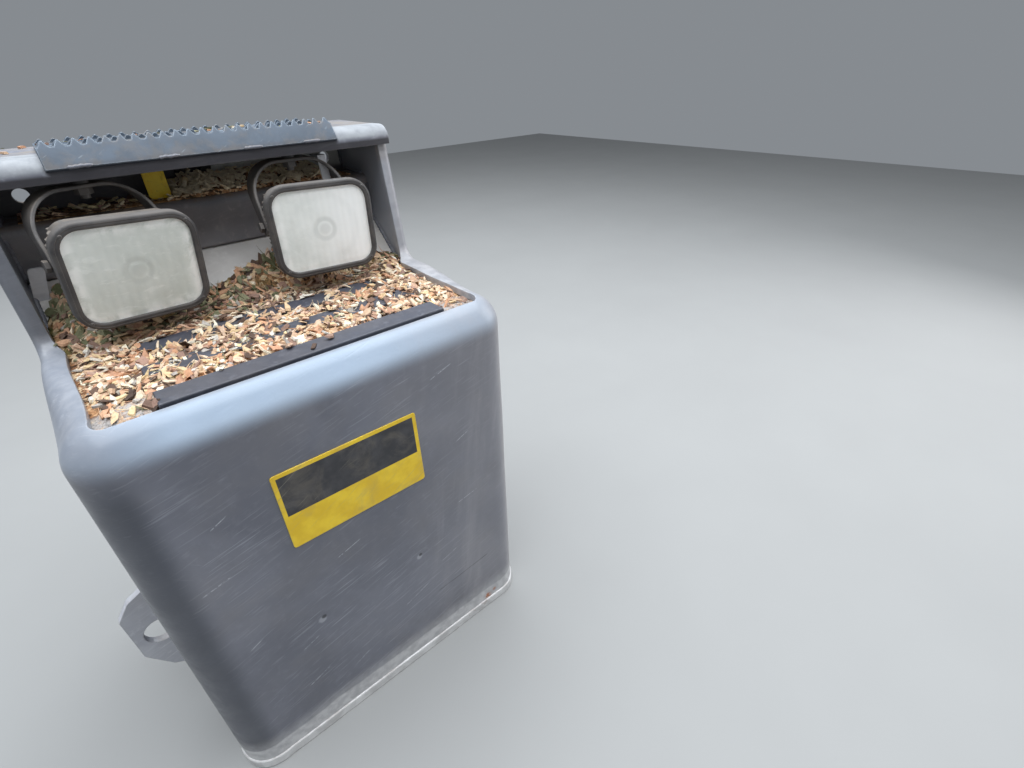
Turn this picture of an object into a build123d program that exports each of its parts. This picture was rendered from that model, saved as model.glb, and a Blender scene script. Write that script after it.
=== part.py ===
from build123d import *
import os
from math import sin, cos, radians

os.makedirs("parts", exist_ok=True)

# Side boarding step and work-lamp guard.  Millimetres, +X along the face to the
# viewer's right, +Y into the machine, +Z up.  The origin is the centre of the
# four bolt holes on the rear face.  Sizes below are given from the face's
# bottom edge: x from the middle, y inwards from the face, z up from the edge.

# ---------------------------------------------------------------- whole guard
WIDTH = 500.0            # over both cheeks at the back
HALF = WIDTH / 2
FRONT_HALF = 262.0       # the cheeks spread to this at the face
REAR_Y = 432.0           # rear face of the mounting plate
BOLT_Z = 500.0           # height of the bolt pattern's centre
BACK_T = 12.0            # mounting plate thickness
BACK_Y = REAR_Y - BACK_T
BACK_LOW = 150.0         # lowest edge of the mounting plate

# ---------------------------------------------------------------- front shell
FACE_T = 10.0            # face plate
BEND_R = 46.0            # outer radius of the left, right and top bends
SHELL_Y = 50.0           # how far the bends run back
STEP_Z = 621.0           # top of the cheeks beside the lower tread
LIP_Y = 26.0             # where the top bend stops in front of the tread
LIP_HALF = 238.0         # half width of that opening
EDGE_H = 18.0            # wear bar round the bottom edge
EDGE_PROUD = 2.5

# --------------------------------------------------------------------- cheeks
CHEEK_T = 15.0
CHEEK_IN = HALF - CHEEK_T
FLARE = (FRONT_HALF - HALF) / (BACK_Y - SHELL_Y)
RISER_Y0 = 256.0         # foot of the riser
RISER_Y1 = 280.0         # head of the riser
RISER_FOOT_R = 24.0
CHEEK_FLAT_Y = 200.0     # where the bottom edge starts to rise
CHEEK_EDGE_R = 4.0

# ------------------------------------------------------------------ top plate
TOP_Z = 824.0
TOP_T = 8.0
TOP_FRONT = 270.0
TOP_LIP_Z = 797.0
TOP_BEND_R = 20.0

# ---------------------------------------------------------------- lower tread
FLOOR_Z = 603.0
FLOOR_T = 4.0
FLOOR_Y0 = 24.5
FLOOR_Y1 = 262.0
BAR_LEN = 340.0
BAR_W = 34.0
BAR_H = 16.0
BAR_Y = [46.0, 117.0, 188.0]     # bar centre lines, front to back

# ------------------------------------------------- cross member and back slope
CROSS_Y = 337.0
CROSS_Z0 = 680.0
CROSS_Z1 = 748.0
CROSS_T = 5.0
CROSS_R = 12.0           # bend along its upper front edge
SLOPE_T = 4.0

# ---------------------------------------------------------------- upper tread
TREAD_X0, TREAD_X1 = -170.0, 170.0
TREAD_FOOT = (267.0, 811.0)      # y, z of the leaning front strip's foot
TREAD_LEAN = 35.0                # degrees back from vertical
TREAD_STRIP = 31.0               # height of the strip along its slope
TREAD_T = 6.0
TOOTH_PITCH = 14.78
TOOTH_H = 9.0
TREAD_BASE_T = 5.0
TREAD_BACK_Y = 402.0
TREAD_ROWS = [345.0, 396.0]      # upright toothed bars behind the front strip

# ----------------------------------------------------------------------- sign
SIGN = (-105.0, 88.0, 385.0, 502.0)      # x0, x1, z0, z1
SIGN_T = 1.2

# ------------------------------------------------------------------- mounting
BOLT_DX = 410.0
BOLT_DZ = 540.0
BOLT_R = 9.0
WINDOW = (300.0, 290.0, 30.0, 410.0)     # width, height, corner radius, centre z
CABLE_Z = 785.0
CABLE_HOLE_R = 20.0
CABLE_R = 12.0

# ---------------------------------------------------------------- lashing eye
EYE_Y = 180.0
EYE_T = 12.0
EYE_HOLE = (-287.0, 194.0, 22.0)         # x, z, radius

# ---------------------------------------------------------------- harness tab
TAB_Y, TAB_T = 320.0, 6.0
TAB_FOOT = (-239.0, -224.0, 661.0)       # x0, x1, z; it stands on the slope
TAB_HEAD = (-230.5, -213.5, 701.0)

# ---------------------------------------------------------------------- lamps
# name, lens centre x, y, z, turned (deg, + faces +X), tipped (deg, + faces down),
# leaning (deg, + lifts its right side)
LAMPS = [
    ("lamp_left", -129.0, 205.0, 704.0, 10.6, 7.7, -3.8),
    ("lamp_right", 99.5, 205.0, 707.0, -3.0, 0.6, -1.5),
]
LENS_W, LENS_H, LENS_R, LENS_T = 134.0, 112.0, 24.0, 3.0
BEZEL_W, BEZEL_H, BEZEL_R = 146.0, 125.0, 29.0
BEZEL_LIP = 3.0          # how far the bezel stands in front of the lens
BEZEL_D = 9.0
CASE_W, CASE_H, CASE_R = 140.6, 119.6, 26.3
CASE_BW, CASE_BH, CASE_BR = 100.0, 84.0, 15.0
CASE_D = 76.0
CASE_STEP = 38.0         # the case keeps its full section down to this depth
CASE_T = 3.0
PIVOT_D = 60.0           # tilt axis behind the lens
ARM_IN = 62.0            # inner face of a yoke arm from the lamp's middle
ARM_T = 4.0
ARM_W = 26.0
YOKE_BACK = 45.0         # swivel axis behind the tilt axis
YOKE_TOP = 790.0         # top of the yoke's bridge
YOKE_R = 22.0            # outer radius of the bend between bridge and arm
PIVOT_R = 4.0
STUD_R = 5.0
SPACER_R = 9.0           # tube on the stud between the top plate and the yoke

FY, FZ = -REAR_Y, -BOLT_Z


def side(x):
    """Plane across the guard: local x is y inwards, local y is z up."""
    return Plane(origin=(x, FY, FZ), x_dir=(0, 1, 0), z_dir=(1, 0, 0))


def front(y):
    """Plane parallel to the face: local x is x, local y is z; +extrude is outwards."""
    return Plane(origin=(0, y + FY, FZ), x_dir=(1, 0, 0), z_dir=(0, -1, 0))


def plan(z):
    """Level plane: local x is x, local y is y inwards."""
    return Plane(origin=(0, FY, z + FZ))


def out_x(y):
    """Outer face of a cheek at a depth y."""
    return HALF + FLARE * (BACK_Y - y)


def in_x(y):
    """Inner face of a cheek at a depth y."""
    return out_x(y) - CHEEK_T


def save(builder, label):
    builder.part.label = label
    export_step(builder.part, "parts/" + label + ".step")


# ============================================================== front shell
# A block rounded on its front vertical edges and its front top edge, hollowed
# by the same block drawn one plate thickness smaller.
with BuildPart() as shell_core:
    with BuildSketch(side(-FRONT_HALF)):
        with BuildLine():
            r = BEND_R - FACE_T
            top = STEP_Z - FACE_T
            Line((FACE_T, -5), (FACE_T, top - r))
            RadiusArc((FACE_T, top - r), (FACE_T + r, top), r)
            Line((FACE_T + r, top), (SHELL_Y + 5, top))
            Line((SHELL_Y + 5, top), (SHELL_Y + 5, -5))
            Line((SHELL_Y + 5, -5), (FACE_T, -5))
        make_face()
    extrude(amount=2 * FRONT_HALF)
    with BuildSketch(plan(-5)):
        with Locations((0, FACE_T + 60)):
            core_plan = Rectangle(2 * FRONT_HALF - 2 * FACE_T, 120)
        fillet(core_plan.vertices().sort_by(Axis.Y)[:2], radius=BEND_R - FACE_T)
    extrude(amount=STEP_Z + 10, mode=Mode.INTERSECT)

with BuildPart() as front_shell:
    with BuildSketch(side(-FRONT_HALF)):
        with BuildLine():
            Line((0, EDGE_H), (0, STEP_Z - BEND_R))
            RadiusArc((0, STEP_Z - BEND_R), (BEND_R, STEP_Z), BEND_R)
            Line((BEND_R, STEP_Z), (SHELL_Y, STEP_Z))
            Line((SHELL_Y, STEP_Z), (SHELL_Y, EDGE_H))
            Line((SHELL_Y, EDGE_H), (0, EDGE_H))
        make_face()
    extrude(amount=2 * FRONT_HALF)
    with BuildSketch(plan(EDGE_H)):
        with Locations((0, 60)):
            shell_plan = Rectangle(2 * FRONT_HALF, 120)
        fillet(shell_plan.vertices().sort_by(Axis.Y)[:2], radius=BEND_R)
    extrude(amount=STEP_Z, mode=Mode.INTERSECT)
    add(shell_core.part, mode=Mode.SUBTRACT)
    # the tread opening: the top bend stops at its lip between the cheeks
    with BuildSketch(plan(FLOOR_Z - 5)):
        with Locations((0, (LIP_Y + 70) / 2)):
            Rectangle(2 * LIP_HALF, 70 - LIP_Y)
    extrude(amount=40, mode=Mode.SUBTRACT)
save(front_shell, "front_shell")

# ======================================================== bottom edge wear bar
with BuildPart() as bottom_edge_bar:
    with BuildSketch(plan(0)):
        with Locations((0, 60 - EDGE_PROUD)):
            bar_plan = Rectangle(2 * FRONT_HALF + 2 * EDGE_PROUD, 120)
        fillet(bar_plan.vertices().sort_by(Axis.Y)[:2], radius=BEND_R + EDGE_PROUD)
        with Locations((0, SHELL_Y + 100)):
            Rectangle(2 * FRONT_HALF + 40, 200, mode=Mode.SUBTRACT)
    extrude(amount=EDGE_H)
    with BuildSketch(plan(0)):
        with Locations((0, FACE_T + 60)):
            bar_core = Rectangle(2 * FRONT_HALF - 2 * FACE_T, 120)
        fillet(bar_core.vertices().sort_by(Axis.Y)[:2], radius=BEND_R - FACE_T)
    extrude(amount=EDGE_H, mode=Mode.SUBTRACT)
    fillet(bottom_edge_bar.faces().sort_by(Axis.Z)[-1].outer_wire().edges()
           .filter_by(lambda e: e.center().Y < FY + SHELL_Y - 1), radius=1.5)
save(bottom_edge_bar, "bottom_edge_bar")

# ================================================================= top plate
with BuildPart() as top_plate:
    with BuildSketch(side(-FRONT_HALF)):
        with BuildLine():
            r_in = TOP_BEND_R - TOP_T
            Line((TOP_FRONT, TOP_LIP_Z), (TOP_FRONT, TOP_Z - TOP_BEND_R))
            RadiusArc((TOP_FRONT, TOP_Z - TOP_BEND_R),
                      (TOP_FRONT + TOP_BEND_R, TOP_Z), TOP_BEND_R)
            Line((TOP_FRONT + TOP_BEND_R, TOP_Z), (REAR_Y, TOP_Z))
            Line((REAR_Y, TOP_Z), (REAR_Y, TOP_Z - TOP_T))
            Line((REAR_Y, TOP_Z - TOP_T), (TOP_FRONT + TOP_BEND_R, TOP_Z - TOP_T))
            RadiusArc((TOP_FRONT + TOP_BEND_R, TOP_Z - TOP_T),
                      (TOP_FRONT + TOP_T, TOP_Z - TOP_BEND_R), -r_in)
            Line((TOP_FRONT + TOP_T, TOP_Z - TOP_BEND_R), (TOP_FRONT + TOP_T, TOP_LIP_Z))
            Line((TOP_FRONT + TOP_T, TOP_LIP_Z), (TOP_FRONT, TOP_LIP_Z))
        make_face()
    extrude(amount=2 * FRONT_HALF)
    with BuildSketch(plan(TOP_LIP_Z - 5)):
        with BuildLine():
            Polyline((-out_x(TOP_FRONT - 5), TOP_FRONT - 5), (out_x(TOP_FRONT - 5), TOP_FRONT - 5),
                     (out_x(BACK_Y), BACK_Y), (HALF, REAR_Y + 5), (-HALF, REAR_Y + 5),
                     (-out_x(BACK_Y), BACK_Y), close=True)
        make_face()
    extrude(amount=40, mode=Mode.INTERSECT)
save(top_plate, "top_plate")

# ==================================================================== cheeks
cheeks = []
for label, hand in (("cheek_left", -1), ("cheek_right", 1)):
    x0 = hand * (HALF - 40)
    with BuildPart() as cheek:
        with BuildSketch(side(x0)) as profile:
            with BuildLine():
                Polyline((SHELL_Y, 0), (SHELL_Y, STEP_Z), (RISER_Y0, STEP_Z),
                         (RISER_Y1, TOP_Z - TOP_T), (BACK_Y, TOP_Z - TOP_T),
                         (BACK_Y, BACK_LOW), (CHEEK_FLAT_Y, 0), close=True)
            make_face()
            foot = profile.vertices().sort_by_distance(
                (x0, RISER_Y0 + FY, STEP_Z + FZ))[0]
            fillet(foot, radius=RISER_FOOT_R)
        extrude(amount=hand * 70)
        # the plate stands a little out towards the face
        with BuildSketch(plan(-5)):
            with BuildLine():
                Polyline((hand * out_x(SHELL_Y), SHELL_Y), (hand * out_x(BACK_Y), BACK_Y),
                         (hand * in_x(BACK_Y), BACK_Y), (hand * in_x(SHELL_Y), SHELL_Y), close=True)
            make_face()
        extrude(amount=TOP_Z + 10, mode=Mode.INTERSECT)
        # rounded plate edge along the stair
        stair = cheek.edges().filter_by(
            lambda e: e.center().Z > FZ + STEP_Z - 1
            and e.center().Y < FY + RISER_Y1
            and e.center().Y > FY + SHELL_Y + 1
            and abs(e.tangent_at(0.5).X) < 0.7)
        fillet(stair, radius=CHEEK_EDGE_R)
        add(top_plate.part, mode=Mode.SUBTRACT)
    cheeks.append(cheek.part)
    save(cheek, label)

# =============================================================== lower tread
with BuildPart() as lower_tread:
    with BuildSketch(plan(FLOOR_Z - FLOOR_T)):
        with BuildLine():
            Polyline((-LIP_HALF + 8, FLOOR_Y0), (LIP_HALF - 8, FLOOR_Y0), (LIP_HALF, FLOOR_Y0 + 8),
                     (LIP_HALF, SHELL_Y), (in_x(SHELL_Y), SHELL_Y), (in_x(FLOOR_Y1), FLOOR_Y1),
                     (-in_x(FLOOR_Y1), FLOOR_Y1), (-in_x(SHELL_Y), SHELL_Y), (-LIP_HALF, SHELL_Y),
                     (-LIP_HALF, FLOOR_Y0 + 8), close=True)
        make_face()
    extrude(amount=FLOOR_T)
save(lower_tread, "lower_tread")

with BuildPart() as tread_bars:
    with BuildSketch(plan(FLOOR_Z)):
        with Locations([(0, y) for y in BAR_Y]):
            Rectangle(BAR_LEN, BAR_W)
    extrude(amount=BAR_H)
    fillet(tread_bars.faces().group_by(Axis.Z)[-1].edges(), radius=2.0)
save(tread_bars, "tread_bars")

# ============================================ back slope and cross member
with BuildPart() as back_slope:
    with BuildSketch(side(-in_x(FLOOR_Y1) - 1)):
        with BuildLine():
            Polyline((FLOOR_Y1, FLOOR_Z - FLOOR_T), (FLOOR_Y1, FLOOR_Z),
                     (CROSS_Y, CROSS_Z0 - 1), (CROSS_Y + 2 * SLOPE_T, CROSS_Z0 - 1),
                     close=True)
        make_face()
    extrude(amount=2 * in_x(FLOOR_Y1) + 2)
    add(cheeks, mode=Mode.SUBTRACT)
save(back_slope, "back_slope")

with BuildPart() as cross_member:
    with BuildSketch(side(-in_x(CROSS_Y) - 1)):
        with BuildLine():
            Polyline((CROSS_Y, CROSS_Z0), (CROSS_Y, CROSS_Z1), (BACK_Y, CROSS_Z1),
                     (BACK_Y, CROSS_Z1 - CROSS_T), (CROSS_Y + CROSS_T, CROSS_Z1 - CROSS_T),
                     (CROSS_Y + CROSS_T, CROSS_Z0 + CROSS_T), (BACK_Y, CROSS_Z0 + CROSS_T),
                     (BACK_Y, CROSS_Z0), close=True)
        make_face()
    extrude(amount=2 * in_x(CROSS_Y) + 2)
    along = cross_member.edges().filter_by(Axis.X)
    fillet(along.sort_by(Axis.Y)[:2].sort_by(Axis.Z)[0], radius=4.0)
    fillet(along.sort_by(Axis.Y)[:2].sort_by(Axis.Z)[-1], radius=CROSS_R)
    fillet(cross_member.edges().filter_by(Axis.X).filter_by(
        lambda e: abs(e.center().Y - (CROSS_Y + CROSS_T + FY)) < 0.1).sort_by(Axis.Z)[-1],
        radius=CROSS_R - CROSS_T)
    add(cheeks, mode=Mode.SUBTRACT)
save(cross_member, "cross_member")

# ============================================================ mounting plate
with BuildPart() as mounting_plate:
    with BuildSketch(front(BACK_Y)):
        with Locations((0, (BACK_LOW + TOP_Z - TOP_T) / 2)):
            Rectangle(WIDTH, TOP_Z - TOP_T - BACK_LOW)
        with Locations((0, WINDOW[3])):
            RectangleRounded(WINDOW[0], WINDOW[1], WINDOW[2], mode=Mode.SUBTRACT)
        with Locations((0, BOLT_Z)):
            with GridLocations(BOLT_DX, BOLT_DZ, 2, 2):
                Circle(BOLT_R, mode=Mode.SUBTRACT)
        with Locations((0, CABLE_Z)):
            Circle(CABLE_HOLE_R, mode=Mode.SUBTRACT)
    extrude(amount=-BACK_T)
save(mounting_plate, "mounting_plate")

with BuildPart() as cable_grommet:
    with BuildSketch(front(BACK_Y - 4)):
        with Locations((0, CABLE_Z)):
            Circle(CABLE_HOLE_R + 6)
            Circle(CABLE_R, mode=Mode.SUBTRACT)
    extrude(amount=-4)
    with BuildSketch(front(BACK_Y)):
        with Locations((0, CABLE_Z)):
            Circle(CABLE_HOLE_R - 0.1)
            Circle(CABLE_R, mode=Mode.SUBTRACT)
    extrude(amount=-(BACK_T - 1))
    fillet(cable_grommet.faces().sort_by(Axis.Y)[0].edges(), radius=1.5)
save(cable_grommet, "cable_grommet")

# ===================================================== stiffeners in the box
with BuildPart() as face_stiffener:
    with BuildSketch(side(-200)):
        with BuildLine():
            Polyline((FACE_T, 285), (FACE_T, 265), (FACE_T + 5, 265), (FACE_T + 5, 280),
                     (FACE_T + 30, 280), (FACE_T + 30, 320), (FACE_T + 5, 320),
                     (FACE_T + 5, 335), (FACE_T, 335), (FACE_T, 315),
                     (FACE_T + 25, 315), (FACE_T + 25, 285), close=True)
        make_face()
    extrude(amount=400)
save(face_stiffener, "face_stiffener")

with BuildPart() as lower_brace:
    with BuildSketch(side(-in_x(170) - 1)):
        with BuildLine():
            Polyline((170, 20), (210, 20), (210, 60), (204, 60), (204, 26), (170, 26),
                     close=True)
        make_face()
    extrude(amount=2 * in_x(170) + 2)
    add(cheeks, mode=Mode.SUBTRACT)
save(lower_brace, "lower_brace")

# =============================================================== lashing eye
with BuildPart() as lashing_eye:
    with BuildSketch(front(EYE_Y)) as eye_face:
        with BuildLine():
            Polyline((2 - out_x(EYE_Y), 292), (-276, 284), (-304, 270), (-323, 244),
                     (-321, 160), (-296, 116), (2 - out_x(EYE_Y), 88), close=True)
        make_face()
        fillet(eye_face.vertices().filter_by(
            lambda v: v.X < -FRONT_HALF - 2), radius=7.0)
        with Locations((EYE_HOLE[0], EYE_HOLE[1])):
            Circle(EYE_HOLE[2], mode=Mode.SUBTRACT)
    extrude(amount=-EYE_T)
    add(cheeks, mode=Mode.SUBTRACT)
save(lashing_eye, "lashing_eye")

# =============================================================== upper tread
# A leaning toothed strip over the top plate's bend, a base plate and two
# upright toothed bars behind it.
strip_plane = Plane(
    origin=(TREAD_X0, TREAD_FOOT[0] + FY, TREAD_FOOT[1] + FZ), x_dir=(1, 0, 0),
    z_dir=(0, -cos(radians(TREAD_LEAN)), sin(radians(TREAD_LEAN))))
tread_len = TREAD_X1 - TREAD_X0
n_teeth = int(tread_len / TOOTH_PITCH)


def toothed(height, tooth=TOOTH_H):
    """Strip outline with saw teeth along its top edge."""
    pts = [(0, 0), (0, height)]
    for i in range(n_teeth):
        x = i * TOOTH_PITCH
        pts += [(x + TOOTH_PITCH * 0.45, height + tooth), (x + TOOTH_PITCH * 0.6, height + tooth),
                (x + TOOTH_PITCH, height)]
    pts += [(tread_len, 0)]
    return pts


with BuildPart() as upper_tread:
    with BuildSketch(strip_plane):
        with BuildLine():
            Polyline(*toothed(TREAD_STRIP - TOOTH_H / 2), close=True)
        make_face()
    extrude(amount=-TREAD_T)
    with BuildSketch(plan(TOP_Z)):
        with Locations(((TREAD_X0 + TREAD_X1) / 2, (TOP_FRONT + 14 + TREAD_BACK_Y) / 2)):
            Rectangle(tread_len, TREAD_BACK_Y - TOP_FRONT - 14)
    extrude(amount=TREAD_BASE_T)
    for row_y in TREAD_ROWS:
        with BuildSketch(Plane(origin=(TREAD_X0, row_y + FY, TOP_Z + FZ), x_dir=(1, 0, 0),
                               z_dir=(0, -1, 0))):
            with BuildLine():
                Polyline(*toothed(5.5, 5.0), close=True)
            make_face()
        extrude(amount=-TREAD_T)
    add(top_plate.part, mode=Mode.SUBTRACT)
save(upper_tread, "upper_tread")

# ================================================ harness tab on the slope
with BuildPart() as harness_tab:
    with BuildSketch(front(TAB_Y)) as tab_face:
        with BuildLine():
            Polyline((TAB_FOOT[0], TAB_FOOT[2]), (TAB_FOOT[1], TAB_FOOT[2]),
                     (TAB_HEAD[1], TAB_HEAD[2]), (TAB_HEAD[0], TAB_HEAD[2]), close=True)
        make_face()
        fillet(tab_face.vertices().group_by(Axis.Z)[-1], radius=4)
    extrude(amount=-TAB_T)
    add(cheeks, mode=Mode.SUBTRACT)
    add(back_slope.part, mode=Mode.SUBTRACT)
save(harness_tab, "harness_tab")

# ============================================================ sign and tag
with BuildPart() as sign_plate:
    with BuildSketch(front(0)):
        with Locations(((SIGN[0] + SIGN[1]) / 2, (SIGN[2] + SIGN[3]) / 2)):
            RectangleRounded(SIGN[1] - SIGN[0], SIGN[3] - SIGN[2], 4)
    extrude(amount=SIGN_T)
save(sign_plate, "sign_plate")

with BuildPart() as hanging_tag:
    with BuildSketch(front(365)) as tag_face:
        with Locations((-60, (751 + TOP_Z - TOP_T) / 2)):
            Rectangle(27, TOP_Z - TOP_T - 751)
        fillet(tag_face.vertices().group_by(Axis.Z)[0], radius=6)
    extrude(amount=-3)
save(hanging_tag, "hanging_tag")

# ==================================================================== lamps
for name, lx, ly, lz, pan, tilt, roll in LAMPS:
    p, t, q = radians(pan), radians(tilt), radians(roll)
    flat_x = Vector(cos(p), sin(p), 0)
    flat_n = Vector(sin(p), -cos(p), 0)
    up = Vector(0, 0, 1)
    lamp_n = flat_n * cos(t) - up * sin(t)            # the way the lens faces
    lamp_up = up * cos(t) + flat_n * sin(t)
    lamp_x = flat_x * cos(q) + lamp_up * sin(q)       # tilt axis
    lens_c = Vector(lx, ly + FY, lz + FZ)
    pivot = lens_c - lamp_n * PIVOT_D

    def at(depth):
        """Plane square to the lamp's axis, at a depth behind the lens face."""
        return Plane(origin=lens_c - lamp_n * depth, x_dir=lamp_x, z_dir=lamp_n)

    # ------------------------------------------------------------ housing
    with BuildPart() as housing:
        with BuildSketch(at(LENS_T)):
            RectangleRounded(CASE_W, CASE_H, CASE_R)
        extrude(amount=-(CASE_STEP - LENS_T))
        with BuildSketch(at(CASE_STEP)):
            RectangleRounded(CASE_W - 12, CASE_H - 10, CASE_R - 5)
        with BuildSketch(at(CASE_D)):
            RectangleRounded(CASE_BW, CASE_BH, CASE_BR)
        loft()
        # bosses for the pivot bolts
        with BuildSketch(Plane(origin=pivot, x_dir=lamp_n, z_dir=lamp_x)):
            Circle(11)
        extrude(amount=ARM_IN - 1.6, both=True)
        # inside
        with BuildSketch(at(LENS_T)):
            RectangleRounded(CASE_W - 2 * CASE_T, CASE_H - 2 * CASE_T, CASE_R - CASE_T)
        extrude(amount=-(CASE_STEP - LENS_T - CASE_T), mode=Mode.SUBTRACT)
        with BuildSketch(at(CASE_STEP - CASE_T)):
            RectangleRounded(CASE_W - 12 - 2 * CASE_T, CASE_H - 10 - 2 * CASE_T, CASE_R - 8)
        with BuildSketch(at(CASE_D - CASE_T)):
            RectangleRounded(CASE_BW - 2 * CASE_T, CASE_BH - 2 * CASE_T, CASE_BR - CASE_T)
        loft(mode=Mode.SUBTRACT)
        with BuildSketch(Plane(origin=pivot, x_dir=lamp_n, z_dir=lamp_x)):
            Circle(PIVOT_R + 0.02)
        extrude(amount=ARM_IN + 2, both=True, mode=Mode.SUBTRACT)
    save(housing, name + "_housing")

    # -------------------------------------------------------------- bezel
    with BuildPart() as bezel:
        with BuildSketch(at(-BEZEL_LIP)):
            RectangleRounded(BEZEL_W, BEZEL_H, BEZEL_R)
        extrude(amount=-(BEZEL_LIP + BEZEL_D))
        fillet(bezel.faces().sort_by_distance(lens_c + lamp_n * 40)[0].edges(), radius=2.5)
        with BuildSketch(at(-BEZEL_LIP)):
            RectangleRounded(LENS_W - 5, LENS_H - 5, LENS_R - 2.5)
        extrude(amount=-(BEZEL_LIP + BEZEL_D), mode=Mode.SUBTRACT)
        with BuildSketch(at(0)):
            RectangleRounded(LENS_W + 0.4, LENS_H + 0.4, LENS_R + 0.2)
        extrude(amount=-BEZEL_D, mode=Mode.SUBTRACT)
        with BuildSketch(at(LENS_T)):
            RectangleRounded(CASE_W + 0.2, CASE_H + 0.2, CASE_R + 0.1)
        extrude(amount=-BEZEL_D, mode=Mode.SUBTRACT)
    save(bezel, name + "_bezel")

    # --------------------------------------------------------------- lens
    with BuildPart() as lens:
        with BuildSketch(at(0)):
            RectangleRounded(LENS_W, LENS_H, LENS_R)
        extrude(amount=-LENS_T)
    save(lens, name + "_lens")

    # ---------------------------------------------------- reflector, bulb
    # local x is the radius, local -y the depth
    bowl = Plane(origin=lens_c, x_dir=lamp_x, z_dir=lamp_x.cross(lamp_n))
    with BuildPart() as reflector:
        with BuildSketch(at(LENS_T + 0.3)):
            RectangleRounded(LENS_W - 6, LENS_H - 6, LENS_R - 3)
            Circle(45, mode=Mode.SUBTRACT)
        extrude(amount=-1.6)
        # bowl section: radius, depth behind the lens face
        with BuildSketch(bowl):
            with BuildLine():
                Polyline((44, -LENS_T - 0.3), (47, -LENS_T - 0.3), (47, -LENS_T - 1.9),
                         (40, -20), (28, -34), (13, -43), (13, -41), (27, -32),
                         (38.5, -19), (44, -LENS_T - 1.9), close=True)
            make_face()
        revolve(axis=Axis(lens_c, lamp_n), revolution_arc=360)
    save(reflector, name + "_reflector")

    with BuildPart() as bulb:
        with BuildSketch(at(40)):
            Circle(9)
        extrude(amount=-14)
        with BuildSketch(at(20)):
            Circle(5.5)
        extrude(amount=-22)
        fillet(bulb.faces().sort_by_distance(lens_c)[0].edges(), radius=4.0)
    save(bulb, name + "_bulb")

    # ------------------------------------------------------- pivot bolts
    with BuildPart() as bolts:
        for s in (1, -1):
            ax = lamp_x * s
            with BuildSketch(Plane(origin=pivot + ax * (ARM_IN - 10), x_dir=lamp_n, z_dir=ax)):
                Circle(PIVOT_R)
            extrude(amount=ARM_T + 12)
            with BuildSketch(Plane(origin=pivot + ax * (ARM_IN + ARM_T + 1.0), x_dir=lamp_n,
                                   z_dir=ax)):
                RegularPolygon(radius=7.5, side_count=6)
            extrude(amount=5)
    save(bolts, name + "_pivot_bolts")

    # -------------------------------------------------------------- yoke
    # A strap bent into a U, seen from the front as a rounded bridge over two
    # arms; from the side its arms lean back from the pivots to the bridge.
    arm_v = (Vector(0, 0, 1).cross(lamp_x)).normalized()     # level, into the machine
    arm_w = lamp_x.cross(arm_v)                              # up, in the arm's plane
    yoke_x = arm_v.cross(Vector(0, 0, 1))                    # level, across the lamp
    rise = (YOKE_TOP + FZ - pivot.Z) / arm_w.Z
    stud = pivot + arm_v * YOKE_BACK + arm_w * rise          # swivel axis at the bridge's top
    arm_out = ARM_IN + ARM_T
    with BuildPart() as yoke:
        with BuildSketch(Plane(origin=(pivot.X, pivot.Y, YOKE_TOP + FZ), x_dir=yoke_x,
                               z_dir=arm_v * -1)):
            with Locations((0, -70)):
                outer = Rectangle(2 * arm_out, 140)
            fillet(outer.vertices().group_by(Axis.Z)[-1], radius=YOKE_R)
            with Locations((0, -ARM_T - 70)):
                RectangleRounded(2 * ARM_IN, 140, YOKE_R - ARM_T, mode=Mode.SUBTRACT)
        extrude(amount=110, both=True)
        with BuildSketch(Plane(origin=pivot, x_dir=arm_v, z_dir=lamp_x)):
            Circle(ARM_W / 2)
            with Locations((YOKE_BACK, rise - 6)):
                Rectangle(ARM_W, 24)
            make_hull()
        extrude(amount=arm_out + 8, both=True, mode=Mode.INTERSECT)
        with BuildSketch(Plane(origin=pivot, x_dir=arm_v, z_dir=lamp_x)):
            Circle(PIVOT_R + 0.06)
        extrude(amount=arm_out + 8, both=True, mode=Mode.SUBTRACT)
        with BuildSketch(Plane(origin=stud, x_dir=yoke_x, z_dir=(0, 0, 1))):
            Circle(STUD_R + 0.06)
        extrude(amount=-10, mode=Mode.SUBTRACT)
    save(yoke, name + "_yoke")

    # -------------------------------------------- stud under the top plate
    with BuildPart() as stud_nut:
        with BuildSketch(Plane(origin=(stud.X, stud.Y, TOP_Z - TOP_T + FZ))):
            Circle(STUD_R)
        extrude(amount=-(TOP_Z - TOP_T - YOKE_TOP + 17))
        with BuildSketch(Plane(origin=(stud.X, stud.Y, TOP_Z - TOP_T + FZ))):
            Circle(SPACER_R)
        extrude(amount=-(TOP_Z - TOP_T - YOKE_TOP - 0.3))
        with BuildSketch(Plane(origin=(stud.X, stud.Y, YOKE_TOP - ARM_T - 0.3 + FZ))):
            RegularPolygon(radius=9.8, side_count=6)
        extrude(amount=-8)
    save(stud_nut, name + "_stud")

    print(name, "pivot", [round(c, 2) for c in (pivot.X, pivot.Y, pivot.Z)],
          "tilt axis", [round(c, 5) for c in (lamp_x.X, lamp_x.Y, lamp_x.Z)],
          "stud", [round(c, 2) for c in (stud.X, stud.Y, stud.Z)])
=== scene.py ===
import math

import bmesh
import bpy
import numpy as np
from mathutils import Matrix, Vector, noise


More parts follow.
